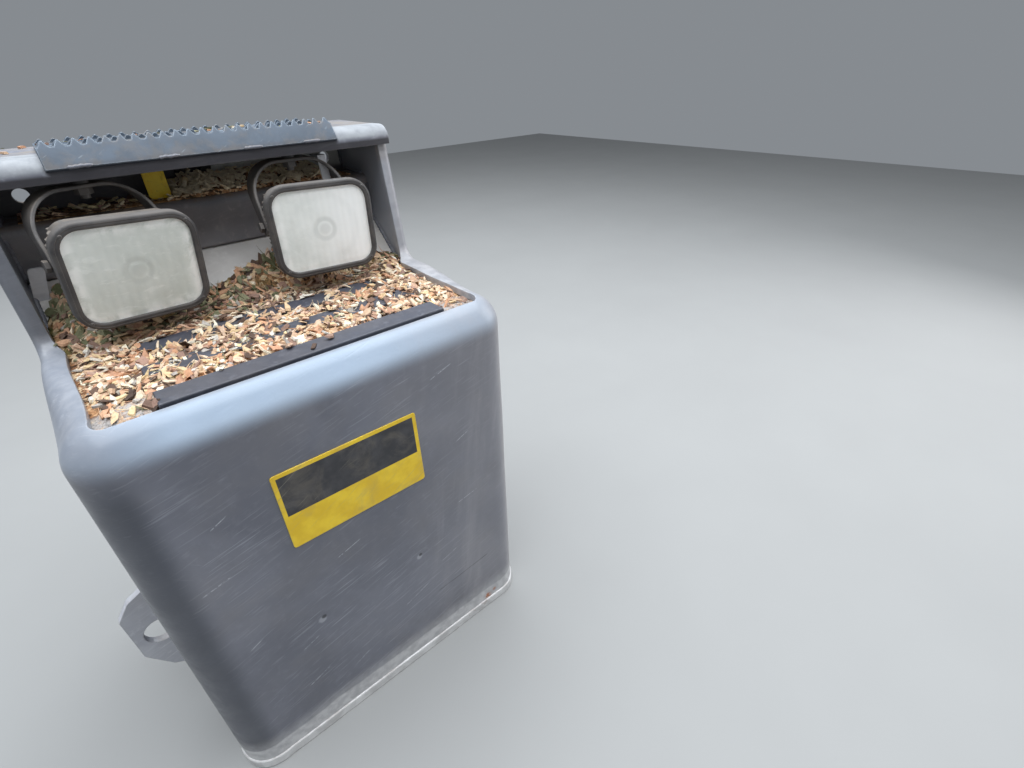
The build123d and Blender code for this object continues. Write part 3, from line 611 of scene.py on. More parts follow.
def steel_shader(name, a, b, rough=0.42, metal=0.75, rust=0.25, dust=0.4, rust_colour=srgb(122, 76, 46)):
    s = Shader(name, metallic=metal, rough=rough)
    cloud = s.noise(26.0, 6.0, 0.65, 0.7)
    col = s.mix(s.span(cloud, 0.35, 0.65), a, b)
    grain = s.noise(1.0, 3.0, 0.5, vec=s.map(scale=(60, 900, 900)))
    col = s.mix(s.mul(s.span(grain, 0.5, 0.7), 0.3), col, srgb(214, 214, 212))
    spots = s.span(s.add(s.noise(70.0, 6.0, 0.75), s.mul(s.noise(9.0, 3.0), 0.5)), 0.86, 1.0)
    spots = s.mul(spots, rust * 4)
    col = s.mix(spots, col, rust_colour)
    dusty = s.mul(s.up(0.3, 0.9), s.span(s.noise(34.0, 5.0, 0.7), 0.40, 0.62), dust)
    col = s.mix(dusty, col, srgb(122, 106, 90))
    h = s.add(s.mul(grain, 0.2), s.mul(s.noise(300.0, 3.0), 0.3), s.mul(spots, 0.4))
    return s.set(color=col, rough=s.add(rough - 0.06, s.mul(cloud, 0.16), s.mul(spots, 0.3), s.mul(dusty, 0.35)),
                 metal=s.mul(s.less(s.most(spots, dusty)), metal), normal=s.bump(h, 0.0006, 0.5))


M["zinc"] = steel_shader("zinc_steel_finish", srgb(150, 152, 154), srgb(176, 178, 178), rust=0.18)
M["edge"] = steel_shader("bare_edge_steel", srgb(196, 194, 193), srgb(224, 223, 222), rough=0.52, metal=0.20,
                         rust=0.10, dust=0.35)
M["tab"] = steel_shader("pale_zinc_finish", srgb(186, 186, 190), srgb(210, 210, 213), rough=0.5, metal=0.15,
                        rust=0.04, dust=0.2)


def frame_shader(name, a, b, dust_c=srgb(112, 98, 88), dust_amount=0.85, rough=0.6):
    s = Shader(name, rough=rough)
    cloud = s.noise(40.0, 5.0, 0.65)
    col = s.mix(s.span(cloud, 0.35, 0.65), a, b)
    worn = s.span(s.add(s.edge(0.002, 7.0), s.mul(s.math("SUBTRACT", s.noise(130.0, 5.0, 0.7), 0.5), 1.0)), 0.6, 1.0)
    col = s.mix(s.mul(worn, 0.5), col, srgb(128, 124, 120))
    settled = s.mul(s.up(0.1, 0.85), s.span(s.noise(45.0, 5.0, 0.7, 0.5), 0.30, 0.55), dust_amount)
    film = s.mul(s.span(s.noise(20.0, 4.0, 0.6), 0.42, 0.70), 0.35)
    dusty = s.most(settled, film)
    col = s.mix(dusty, col, dust_c)
    h = s.add(s.mul(s.noise(900.0, 2.0), 0.25), s.mul(dusty, s.noise(380.0, 3.0), 0.8))
    return s.set(color=col, rough=s.add(rough - 0.1, s.mul(dusty, 0.4)), normal=s.bump(h, 0.0006, 0.5))


M["frame"] = frame_shader("lamp_frame_plastic", srgb(58, 56, 57), srgb(74, 72, 71), srgb(96, 89, 83), 0.6)
M["case"] = frame_shader("lamp_case_metal", srgb(66, 63, 61), srgb(84, 80, 76), srgb(104, 95, 86), 0.7, 0.58)
M["yoke"] = frame_shader("lamp_yoke_dusty", srgb(72, 70, 70), srgb(94, 91, 90), srgb(124, 115, 106), 0.8, 0.55)
M["rubber"] = frame_shader("grommet_rubber_black", srgb(30, 30, 30), srgb(42, 41, 40), dust_amount=0.4, rough=0.7)


def wall_painted_light(s, col, r, normal):
    """Painted light: a pale patch high on the inside of the mounting plate, right of its middle."""
    x, y, z = s.xyz()
    m = s.mul(s.span(x, -0.01, 0.03), s.span(z, 0.252, 0.262), s.span(y, -0.008, -0.011),
              s.span(s.noise(16.0, 4.0, 0.6), 0.25, 0.5, 0.6, 1.0))
    return s.mix(s.mul(m, 0.9), col, srgb(226, 226, 220)), r, normal


M["wall"] = paint("mounting_plate_paint", srgb(104, 103, 107), srgb(84, 83, 87), srgb(132, 129, 128), rough=0.55,
                  dust=srgb(128, 112, 98), dust_amount=0.8, wear=0.5, scratch=0.3, extra=wall_painted_light)


def glass_shader():
    """Patterned lamp glass under a pale film of dried dust, with painted highlights and painted light across it."""
    s = Shader("lamp_glass_dusty", rough=0.3, coat=0.5, coat_rough=0.18, transmission=0.0, ior=1.5)
    loc = s.attr("place", "Vector")
    u, v, _ = s.node("SeparateXYZ", {0: loc}).outputs
    cloud = s.noise(26.0, 5.0, 0.62, 0.25, vec=loc)
    col = s.mix(s.span(cloud, 0.34, 0.66), srgb(204, 210, 203), srgb(226, 230, 224))
    # painted highlights: pale diagonal streaks
    streak = s.noise(1.0, 3.0, 0.6, vec=s.map(scale=(90, 30, 1), vec=s.map(rot=(0, 0, -0.7), vec=loc)))
    col = s.mix(s.mul(s.span(streak, 0.50, 0.70), 0.35), col, srgb(240, 243, 239))
    # the left lamp's glass darker; painted light on the right lamp's glass, brighter towards its right side
    right_lamp = s.span(s.xyz()[0], -0.02, 0.02)
    col = s.mix(s.mul(s.less(right_lamp), 0.5), col, srgb(176, 183, 176))
    col = s.mix(s.mul(right_lamp, s.span(u, -0.06, 0.05, 0.20, 0.95)), col, srgb(252, 253, 251))
    patch = s.noise(62.0, 4.0, 0.6, 0.6, vec=s.map(loc=(3, 2, 1), rot=(0, 0, 0.6), scale=(1.0, 1.9, 1.0), vec=loc))
    col = s.mix(s.mul(s.span(patch, 0.54, 0.70), 0.35), col, srgb(244, 246, 242))
    # painted light, brighter towards the upper left; dust, paler along the rim
    upper_left_painted_light = s.span(s.math("SUBTRACT", v, u), -0.09, 0.10, soft=False)
    col = s.mix(s.mul(upper_left_painted_light, 0.30), col, srgb(240, 243, 238))
    rim = s.most(s.span(s.math("ABSOLUTE", u), 0.048, 0.063), s.span(s.math("ABSOLUTE", v), 0.038, 0.053))
    col = s.mix(s.mul(rim, s.span(s.noise(44.0, 4.0, 0.6, 0.5, vec=loc), 0.38, 0.58), 0.75), col, srgb(250, 251, 248))
    # a faint ring where the bowl's middle shows through
    rad = s.math("SQRT", s.add(s.mul(u, u), s.mul(v, v)))
    ring = s.mul(s.span(rad, 0.009, 0.012), s.span(rad, 0.019, 0.014))
    col = s.mix(s.mul(ring, 0.26), col, srgb(160, 165, 160))
    col = s.mix(s.mul(s.span(rad, 0.010, 0.005), 0.22), col, srgb(166, 170, 166))
    bowl = s.mul(s.span(rad, 0.036, 0.044), s.span(rad, 0.052, 0.046))
    col = s.mix(s.mul(bowl, 0.08), col, srgb(176, 181, 176))
    grime = s.mul(s.span(s.noise(11.0, 5.0, 0.65, 0.6, vec=loc), 0.50, 0.72), s.span(v, 0.02, -0.05))
    col = s.mix(s.mul(grime, 0.25), col, srgb(168, 162, 150))
    h = s.add(s.mul(s.noise(500.0, 2.0, vec=loc), 0.3), s.mul(cloud, 0.4))
    return s.set(color=col, rough=s.add(0.22, s.mul(cloud, 0.3)), normal=s.bump(h, 0.0004, 0.4))


M["glass"] = glass_shader()


def chrome_shader():
    s = Shader("reflector_chrome", metallic=1.0, rough=0.12)
    cloud = s.noise(40.0, 3.0)
    return s.set(color=s.mix(cloud, (0.70, 0.70, 0.69), (0.84, 0.84, 0.83)), rough=s.add(0.08, s.mul(cloud, 0.12)))


def bulb_shader():
    s = Shader("bulb_clear", rough=0.05, transmission=0.9, ior=1.45)
    return s.set(color=s.mix(s.noise(90.0, 2.0), (0.85, 0.85, 0.80), (0.95, 0.95, 0.92)))


M["chrome"], M["bulb"] = chrome_shader(), bulb_shader()


def sign_shader():
    """Blank panel: a yellow border, a black upper part and a yellow lower part."""
    s = Shader("sign_blank_two_tone", rough=0.42, coat=0.15, coat_rough=0.3)
    x, y, z = s.xyz()
    x0, x1, z0, z1 = -0.105, 0.088, -0.115, 0.002
    b = 0.0052
    inside = s.mul(s.span(x, x0 + b, x0 + b + 0.0006), s.span(x, x1 - b, x1 - b - 0.0006),
                   s.span(z, z1 - b, z1 - b - 0.0006), s.span(z, z0 + 0.052, z0 + 0.0526))
    yellow = s.mix(s.span(s.noise(35.0, 4.0), 0.35, 0.7), srgb(226, 186, 22), srgb(242, 206, 38))
    black = s.mix(s.span(s.noise(30.0, 5.0, 0.6), 0.40, 0.7), srgb(42, 42, 46), srgb(66, 65, 68))
    col = s.mix(inside, yellow, black)
    lines = s.most(s.mul(s.scratches(0.52, 14, 520, 0.66, 0.74), 0.8),
                   s.mul(s.scratches(0.2, 10, 640, 0.69, 0.76, 4.0), 0.7))
    col = s.mix(s.mul(lines, 0.5), col, srgb(150, 146, 132))
    film = s.mul(s.span(s.noise(24.0, 5.0, 0.7, 0.5), 0.46, 0.70), 0.22)
    col = s.mix(film, col, srgb(150, 140, 124))
    chips = s.span(s.add(s.edge(0.002, 6.0), s.mul(s.math("SUBTRACT", s.noise(150.0, 4.0, 0.7), 0.5), 1.2)), 0.75, 0.95)
    col = s.mix(s.mul(chips, 0.7), col, srgb(130, 128, 124))
    h = s.add(s.mul(s.noise(300.0, 2.0), 0.2), s.mul(lines, -0.4))
    return s.set(color=col, rough=s.add(0.34, s.mul(film, 1.2), s.mul(lines, 0.2)), normal=s.bump(h, 0.0004, 0.4))


def tag_shader():
    s = Shader("tag_yellow_dusty", rough=0.5)
    col = s.mix(s.span(s.noise(60.0, 4.0, 0.6), 0.35, 0.65), srgb(244, 206, 30), srgb(252, 222, 52))
    grime = s.span(s.noise(90.0, 5.0, 0.7, 0.5), 0.52, 0.68)
    col = s.mix(s.mul(grime, 0.45), col, srgb(120, 98, 44))
    return s.set(color=col, rough=s.add(0.4, s.mul(grime, 0.4)), normal=s.bump(s.noise(300.0, 3.0), 0.0005, 0.4))


M["sign"], M["tag"] = sign_shader(), tag_shader()


def soften(c, gain):
    """A litter colour, less vivid."""
    grey = 0.3 * c[0] + 0.6 * c[1] + 0.1 * c[2]
    return tuple(min(cap, gain * lerp(v, grey * t, 0.30))
                 for v, t, cap in zip(c[:3], (1.06, 0.98, 0.90), (0.92, 0.80, 0.58))) + tuple(c[3:])


def chip_shader(name, stops):
    s = Shader(name, rough=0.8, spec=0.3)
    tint = s.attr("tint")
    col = s.ramp(tint, stops)
    grain = s.noise(300.0, 4.0, 0.7, 0.4)
    col = s.mix(s.span(grain, 0.26, 0.60, 0.45, 1.0), s.mix(0.8, col, srgb(140, 104, 78), "MULTIPLY"), col)
    col = s.mix(s.mul(s.span(s.noise(110.0, 4.0, 0.65), 0.58, 0.75), 0.30), col, srgb(236, 218, 188))
    return s.set(color=col, rough=s.add(0.6, s.mul(grain, 0.3)), normal=s.bump(grain, 0.0006, 0.7))


WOOD = [(0.00, srgb(74, 56, 46)), (0.11, srgb(116, 84, 64)), (0.20, srgb(176, 134, 114)), (0.29, srgb(222, 152, 96)),
        (0.38, srgb(206, 166, 126)), (0.47, srgb(234, 200, 132)), (0.56, srgb(226, 176, 138)), (0.66, srgb(240, 216, 180)),
        (0.76, srgb(248, 238, 216)), (0.83, srgb(224, 220, 208)), (0.88, srgb(170, 162, 154)), (0.92, srgb(158, 156, 112)),
        (1.00, srgb(96, 102, 58))]
M["chips"] = chip_shader("wood_litter", [(t, soften(c, 0.90)) for t, c in WOOD])
# the same wood litter painted much lighter: painted light for litter on the shaded ledge
M["chips_painted_lit"] = chip_shader("wood_litter_painted_lit", [(t, soften(c, 2.3)) for t, c in WOOD])


def bed_shader():
    s = Shader("litter_bed", rough=0.9, spec=0.2)
    a = s.noise(90.0, 6.0, 0.7, 1.0)
    crumbs = s.cells(260.0, what="Color")
    r = s.node("SeparateXYZ", {0: crumbs}).outputs[0]
    col = s.ramp(s.add(s.mul(r, 0.62), s.mul(a, 0.38)),
                 [(0.18, srgb(66, 50, 40)), (0.34, srgb(124, 90, 66)), (0.50, srgb(178, 130, 92)),
                  (0.64, srgb(210, 168, 128)), (0.80, srgb(228, 204, 168)), (0.95, srgb(240, 230, 210))])
    green = s.attr("green")
    col = s.mix(s.mul(green, s.span(s.noise(40.0, 5.0, 0.7), 0.35, 0.6)), col,
                s.mix(s.span(a, 0.4, 0.6), srgb(52, 50, 28), srgb(96, 98, 52)))
    pale = s.attr("pale")
    col = s.mix(s.mul(pale, s.span(a, 0.3, 0.55)), col, srgb(164, 158, 154))
    h = s.add(s.mul(s.cells(300.0), 1.0), s.mul(a, 0.8))
    return s.set(color=col, rough=0.9, normal=s.bump(h, 0.0022, 0.9))


M["bed"] = bed_shader()


# ================================================================== guard skin
def half_path(fine=6.0):
    """Rim stations from the left riser's head to the left end of the straight front."""
    st = []
    lean = math.atan2(24.0, 195.0)
    foot = 24.0 / math.tan((math.pi / 2 + lean) / 2)
    tr = np.array([math.sin(lean), math.cos(lean)])            # up the riser in (y, z)
    centre = np.array([256.0 - foot, STEP_Z + 24.0])
    head = np.array([280.0, 816.0])
    start = np.array([256.0, STEP_Z]) + tr * foot
    br = np.array([math.cos(lean), -math.sin(lean)])
    for t in np.linspace(0, 1, 15):
        p = head + (start - head) * t
        st.append(dict(P=(-out_x(p[0]), p[0], p[1]), a=(1, 0, 0), b=(0, br[0], br[1]), kind="riser", y=p[0], t=t))
    for phi in np.linspace(-lean, -math.pi / 2, 12)[1:]:
        b = np.array([math.cos(phi), math.sin(phi)])
        p = centre + 24.0 * b
        st.append(dict(P=(-out_x(p[0]), p[0], p[1]), a=(1, 0, 0), b=(0, b[0], b[1]), kind="foot", y=p[0], t=0))
    y0 = centre[0]
    for y in np.linspace(y0, 50.0, 26)[1:]:
        st.append(dict(P=(-out_x(y), y, STEP_Z), a=(1, 0, 0), b=(0, 0, -1), kind="level", y=y, t=0))
    for th in np.radians(np.linspace(180, 270, 15)):
        n = np.array([math.cos(th), math.sin(th)])
        st.append(dict(P=(-216 + 46 * n[0], 46 + 46 * n[1], STEP_Z), a=(-n[0], -n[1], 0), b=(0, 0, -1),
                       kind="corner", y=50.0, t=(math.degrees(th) - 180) / 90))
    return st


def rim_width(y, side=-1):
    """Width of a cheek's flanged rim beside the lower tread."""
    return np.where(side < 0, lerp(36.0, 26.0, smooth((y - 60.0) / 150.0)), lerp(37.0, 31.0, smooth((y - 120.0) / 110.0)))


def station_sizes(s):
    """rx, rz, cut distance, wall and strip depth at a station."""
    if s["kind"] in ("riser", "foot"):
        wide = lerp(float(rim_width(234.0, s["side"])), 18.0, float(smooth((s["y"] - 234.0) / 26.0)))
        return 9.0, 9.0, wide, 15.0, 34.0 if s["kind"] == "foot" else 24.0
    if s["kind"] == "level":
        k = float(np.clip((s["y"] - 50.0) / 184.0, 0, 1))
        rx = lerp(46.0, 9.0, smooth(k / 0.95))
        rz = lerp(46.0, 9.0, smooth(k / 0.90))
        return rx, rz, float(rim_width(s["y"], s["side"])), 15.0, lerp(66.0, 34.0, smooth(k))
    if s["kind"] == "corner":
        return 46.0, 46.0, lerp(36.0, 26.0, smooth(s["t"])), lerp(15.0, 10.0, smooth(s["t"] * 2)), 66.0
    return 46.0, 46.0, 26.0, 10.0, 66.0


def section(rx, rz, d, wall, deep):
    """Outer wall, bend, lip and inner wall as (a, b) pairs, the same count everywhere."""
    pts = [(0.0, deep), (0.0, lerp(rz, deep, 0.5))]
    end = d - 1.4
    t_end = math.acos(max(-1.0, 1 - end / rx)) if end < rx else math.pi / 2
    for i in range(11):
        t = t_end * i / 10
        pts.append((rx - rx * math.cos(t), rz - rz * math.sin(t)))
    a_c, b_c = pts[-1]
    if end > rx:
        pts.append((end, 0.0))
    else:
        pts.append((lerp(a_c, d - 0.9, 0.5), b_c + 0.02 - 0.25 * (a_c < end)))
        pts[-1] = (d - 0.9, b_c - 0.05)
    b_top = pts[-1][1]
    pts += [(d - 0.35, b_top + 0.35), (d, b_top + 1.3)]
    low = b_top + 10.5
    pts += [(d, low - 1.0), (d - 0.5, low)] if d > wall + 0.5 else [(d, low - 1.0), (d, low)]
    q0, q1, q2 = (d - (0.5 if d > wall + 0.5 else 0), low), (wall, low + (deep * 0.62 - low) * 0.4), (wall, deep * 0.72)
    for t in (0.3, 0.6, 1.0):
        pts.append(((1 - t) ** 2 * q0[0] + 2 * t * (1 - t) * q1[0] + t * t * q2[0],
                    (1 - t) ** 2 * q0[1] + 2 * t * (1 - t) * q1[1] + t * t * q2[1]))
    pts.append((wall, deep))
    return pts


DENTS = [(-101, 237, 16, 1.5), (60, 239, 13, 1.2), (150, 470, 30, 0.9), (-160, 520, 26, 0.8), (-30, 110, 34, 1.0),
         (196, 180, 22, 0.9), (-190, 330, 24, 0.8), (110, 60, 18, 1.1), (-120, 45, 20, 1.0), (20, 330, 60, 0.7)]


def waviness(p):
    """How far the face plate is pushed in, in mm, at a point of its outer side."""
    x, y, z = p
    if y > 50:
        return 0.0
    fade = float(smooth((50 - y) / 30.0)) * float(smooth((z - 18) / 30.0)) * float(smooth((610 - z) / 30.0))
    w = 0.55 * noise.noise(Vector((x / 130, z / 150, 2.3))) + 0.22 * noise.noise(Vector((x / 48, z / 55, 7.9)))
    w += 0.05 * noise.noise(Vector((x / 15, z / 17, 1.1)))
    for dx, dz, r, deep in DENTS:
        q = ((x - dx) ** 2 + (z - dz) ** 2) / r ** 2
        if q < 4:
            w += deep * math.exp(-q * 1.6)
    return max(w, -0.6) * fade


def guard_skin():
    left = half_path()
    for s in left:
        s["side"] = -1
    stations = list(left)
    for x in np.arange(-210.0, 210.1, 6.0):
        stations.append(dict(P=(x, 0.0, STEP_Z), a=(0, 1, 0), b=(0, 0, -1), kind="front", y=0.0, t=0, side=0))
    for s in reversed(left):
        m = dict(s)
        m["side"] = 1
        m["P"] = (-s["P"][0], s["P"][1], s["P"][2])
        m["a"] = (-s["a"][0], s["a"][1], 0)
        stations.append(m)
    b = Build()
    rows_ = []
    rim = []
    share = dict(riser=1.0, foot=0.95, level=0.75, corner=0.5, front=0.0)
    for s in stations:
        P, a, bb = (np.array(s[k], float) for k in ("P", "a", "b"))
        ring = []
        sizes = station_sizes(s)
        for k, (u, w) in enumerate(section(*sizes)):
            p = P + a * u + bb * w
            if s["kind"] in ("riser", "foot", "level"):
                p[0] = math.copysign(out_x(p[1]) - u, P[0])
            if k < 13 and s["kind"] in ("front", "corner", "level"):
                p = p + a * waviness(p)
            ring.append(p)
            on = float(smooth(1.25 - w / sizes[1])) if k < 14 else (1.0 if k < 17 else 0.0)
            rim.append(on * share[s["kind"]] * (1 - 0.9 * s["t"] if s["kind"] == "corner" else 1.0))
        rows_.append(b.add(ring))
    b.grid(rows_)
    for end in (rows_[0], rows_[-1]):
        b.face(end)
    # face and corners below the strip, outer and inner side
    first = next(i for i, s in enumerate(stations) if s["kind"] == "corner")
    last = len(stations) - 1 - first
    outer_z = [561.0 - 6.0 * i for i in range(1, 90)] + [18.0]
    outer_z = [z for z in outer_z if z > 22.0] + [18.0]
    inner_z = list(np.linspace(555.0, 18.0, 14))
    outer_cols, inner_cols = [], []
    top_z = STEP_Z - 66.0
    outer_z = [z for z in outer_z if z < top_z - 3]
    for i in range(first, last + 1):
        s = stations[i]
        P, a = np.array(s["P"], float), np.array(s["a"], float)
        wall = station_sizes(s)[3]
        col = [rows_[i][0]]
        for z in outer_z:
            p = np.array([P[0], P[1], z])
            p = p + a * waviness(p)
            col += b.add([p])
        outer_cols.append(col)
        base = P + a * wall
        inner_cols.append([rows_[i][-1]] + b.add([(base[0], base[1], z) for z in inner_z[1:]]))
    b.grid(outer_cols)
    b.grid(inner_cols)
    for i in range(len(outer_cols) - 1):
        b.face([outer_cols[i][-1], outer_cols[i + 1][-1], inner_cols[i + 1][-1], inner_cols[i][-1]])
    # the flat parts of the cheeks
    for side, run, out, inn in ((-1, range(0, first + 1), outer_cols[0], inner_cols[0]),
                                (1, range(len(stations) - 1, last - 1, -1), outer_cols[-1], inner_cols[-1])):
        corner = [(50, 0), (200, 0), (420, 150), (420, 816)]
        o = b.add([(side * out_x(y), y, z) for y, z in corner])
        n = b.add([(side * in_x(y), y, z) for y, z in corner])
        outer_loop = [rows_[i][0] for i in run] + out[1:] + o
        inner_loop = [rows_[i][-1] for i in run] + inn[1:] + n
        b.face(outer_loop)
        b.face(inner_loop[::-1])
        rim_o, rim_n = [out[-1]] + o + [rows_[run[0]][0]], [inn[-1]] + n + [rows_[run[0]][-1]]
        for i in range(len(rim_o) - 1):
            b.face([rim_o[i], rim_o[i + 1], rim_n[i + 1], rim_n[i]])
    return piece("guard_skin", b, M["skin"], sharp=42,
                 attrs={"rim": np.array(rim + [0.0] * (len(b.v) - len(rim)))},
                 stands_for=("front_shell", "cheek_left", "cheek_right"))


def plan_path(out=0.0, step=8.0):
    """(point, inward) pairs round the shell's plan, from the left at y 50 to the right."""
    res = [((-FRONT_HALF - out, 50.0), (1, 0))]
    for th in np.radians(np.linspace(180, 270, 13)):
        n = (math.cos(th), math.sin(th))
        res.append(((-216 + (46 + out) * n[0], 46 + (46 + out) * n[1]), (-n[0], -n[1])))
    for x in np.arange(-216 + step, 216 - step / 2, step):
        res.append(((x, -out), (0, 1)))
    for (x, y), (nx, ny) in list(res[13::-1]):
        res.append(((-x, y), (-nx, ny)))
    return res


def edge_bar():
    b = Build()
    rings = []
    prof = []
    for cx, cz, a0 in ((1.8, 1.8, 180), (10.9, 1.6, 270), (10.9, 16.4, 0), (2.4, 15.6, 90)):
        r = 1.8 if cx < 2 else (2.4 if a0 == 90 else 1.6)
        for k in range(5):
            a = math.radians(a0 + 90 * k / 4)
            prof.append((cx + r * math.cos(a), cz + r * math.sin(a)))
    for i, ((x, y), (nx, ny)) in enumerate(plan_path(2.5, 7.0)):
        ring = []
        nick = 0.9 * noise.noise(Vector((x / 21, y / 21, 3.3))) + 0.4 * noise.noise(Vector((x / 6, y / 6, 9.0)))
        for u, z in prof:
            hit = (0.9 if u < 4 else 0.25) * max(nick, -0.2)
            ring.append((x + nx * (u + hit), y + ny * (u + hit), z + (0.5 * hit if z > 9 else 0.25 * abs(hit))))
        rings.append(b.add(ring))
    b.grid(rings, close_v=True)
    b.face(rings[0])
    b.face(rings[-1][::-1])
    return piece("edge_bar", b, M["edge"], stands_for=("bottom_edge_bar",), sharp=50)


def top_sheet():
    """Upper step plate with its bent front lip and slightly crooked ends."""
    prof_out = [(270.0, 797.0), (270.0, 803.5)]
    for k in range(9):
        a = math.radians(180 - 90 * k / 8)
        prof_out.append((290 + 20 * math.cos(a), 804 + 20 * math.sin(a)))
    prof_out += [(330.0, 824.0), (380.0, 824.0), (432.0, 824.0)]
    prof_in = [(432.0, 816.0), (380.0, 816.0), (330.0, 816.0)]
    for k in range(9):
        a = math.radians(90 + 90 * k / 8)
        prof_in.append((290 + 12 * math.cos(a), 804 + 12 * math.sin(a)))
    prof_in += [(278.0, 797.0)]
    prof = prof_out + prof_in
    b = Build()
    rings = []
    xs = np.concatenate([[-250.0, -249.2, -247.5], np.arange(-242, 243, 11.0), [247.5, 249.2, 250.0]])
    for x in xs:
        e = 250.0 - abs(x)
        inset = 2.4 - math.sqrt(max(0.0, 2.4 ** 2 - max(0.0, 2.4 - e) ** 2))
        ring = []
        for i, (y, z) in enumerate(prof):
            sag = 0.5 * noise.noise(Vector((x / 60, y / 70, 4.0)))
            my, mz = (286.0, 812.0)
            # the two skins close on each other at the rounded ends
            other = prof[len(prof) - 1 - i]
            k = inset / 8.0
            ring.append((x * out_x(y) / HALF, y + (other[0] - y) * k, z + (other[1] - z) * k + min(sag, 0.0)))
        rings.append(b.add(ring))
    b.grid(rings, close_v=True)
    b.face(rings[0])
    b.face(rings[-1][::-1])
    return piece("top_sheet", b, M["top"], stands_for=("top_plate",), sharp=45)


def top_marks(s, col, r, normal):
    """Pale worn paint with a painted sky reflection at both ends of the upper step's bend; painted shade on the lip and
    under the tread strip.
    """
    # worn paint and a painted sky reflection: pale patches at both ends of the bend
    torn = s.noise(24.0, 4.0, 0.6, 0.3)
    left = s.mul(s.block(-275, -168, 809, 835, 0.003, 262, 322), s.span(torn, 0.24, 0.36))
    right = s.mul(s.block(171, 275, 809, 835, 0.003, 262, 312), s.span(torn, 0.28, 0.40))
    worn = s.most(left, right)
    pale = s.mix(s.span(s.noise(34.0, 4.0, 0.6), 0.30, 0.70), srgb(126, 129, 134), srgb(156, 159, 163))
    col = s.mix(s.mul(worn, 0.95), col, pale)
    x, y, z = s.xyz()
    # painted shade along the lip and under the tread strip
    under = s.mul(s.span(x, -0.174, -0.166), s.span(x, 0.174, 0.166))
    shade = s.most(s.span(z, 0.3075, 0.3035), s.mul(under, s.span(z, 0.3165, 0.3115)))
    shade = s.mul(shade, s.span(y, -0.13, -0.15))
    col = s.mix(s.mul(shade, 0.88), col, srgb(46, 43, 46))
    return col, s.add(r, s.mul(worn, 0.1)), normal


M["top"] = paint("top_grey_paint", rough=0.45, dust_amount=0.65, dust=srgb(132, 122, 110), extra=top_marks, **GREY)


def grip_tread():
    """Leaning toothed strip, base plate and two upright toothed bars."""
    b = Build()
    n, pitch = 23, 14.78

    def outline(height, tooth=8.3):
        pts = [(0, 0), (0, height)]
        for i in range(n):
            x = i * pitch
            wob = rng.normal(0, 0.5, 3)
            pts += [(x + 2.0, height + 0.3), (x + pitch * 0.44 + wob[0], height + tooth + wob[1] * 0.6),
                    (x + pitch * 0.60 + wob[0], height + tooth + 0.3 + wob[2] * 0.5), (x + pitch * 0.88, height + 0.2)]
        pts += [(n * pitch, height), (n * pitch, 0)]
        return pts

    lean = math.radians(35)
    nrm = np.array([0, -math.cos(lean), math.sin(lean)])
    upv = np.array([0, math.sin(lean), math.cos(lean)])
    slab(b, outline(26.5), (-170, 267, 811), (1, 0, 0), upv, -nrm, 6.0)
    slab(b, [(0, 0), (340, 0), (340, 118), (0, 118)], (-170, 284, 824.1), (1, 0, 0), (0, 1, 0), (0, 0, 1), 4.9)
    for y in (345.0, 396.0):
        slab(b, outline(5.4, 4.6), (-170, y, 824), (1, 0, 0), (0, 0, 1), (0, 1, 0), 6.0)
    return piece("grip_tread", b, M["tread"], stands_for=("upper_tread",), sharp=30,
                 bevel=0.9, segments=2, outward=True, merge=0)


def sign_panel():
    b = Build()
    w, h = 193.0, 117.0
    cx, cz = -8.5, 443.5
    rings = []
    for inset, y in ((0.0, 0.2), (0.0, -0.7), (0.25, -1.05), (0.7, -1.2), (5.0, -1.2)):
        rings.append(b.add([(cx + u, y, cz + v) for u, v in rounded(w - 2 * inset, h - 2 * inset, 4.0 - inset * 0.5, 5, 9)]))
    b.grid(rings, close_v=True)
    b.face(rings[-1])
    b.face(rings[0][::-1])
    return piece("sign_panel", b, M["sign"], stands_for=("sign_plate",), sharp=50)


skin = guard_skin()
edge_bar()
top_sheet()
grip_tread()
sign_panel()


# ======================================================================= lamps
LAMPS = [("lamp_left", -129.0, 205.0, 704.0, 10.6, 7.7, -3.8), ("lamp_right", 99.5, 205.0, 707.0, -3.0, 0.6, -1.5)]


def lamp_frame(lx, ly, lz, pan, tilt, roll):
    p, t, q = (math.radians(v) for v in (pan, tilt, roll))
    fx, fn, up = Vector((math.cos(p), math.sin(p), 0)), Vector((math.sin(p), -math.cos(p), 0)), Vector((0, 0, 1))
    n = fn * math.cos(t) - up * math.sin(t)
    lu = up * math.cos(t) + fn * math.sin(t)
    x = fx * math.cos(q) + lu * math.sin(q)
    v = n.cross(x)
    return np.array((lx, ly, lz)), np.array(x), np.array(v), np.array(n)


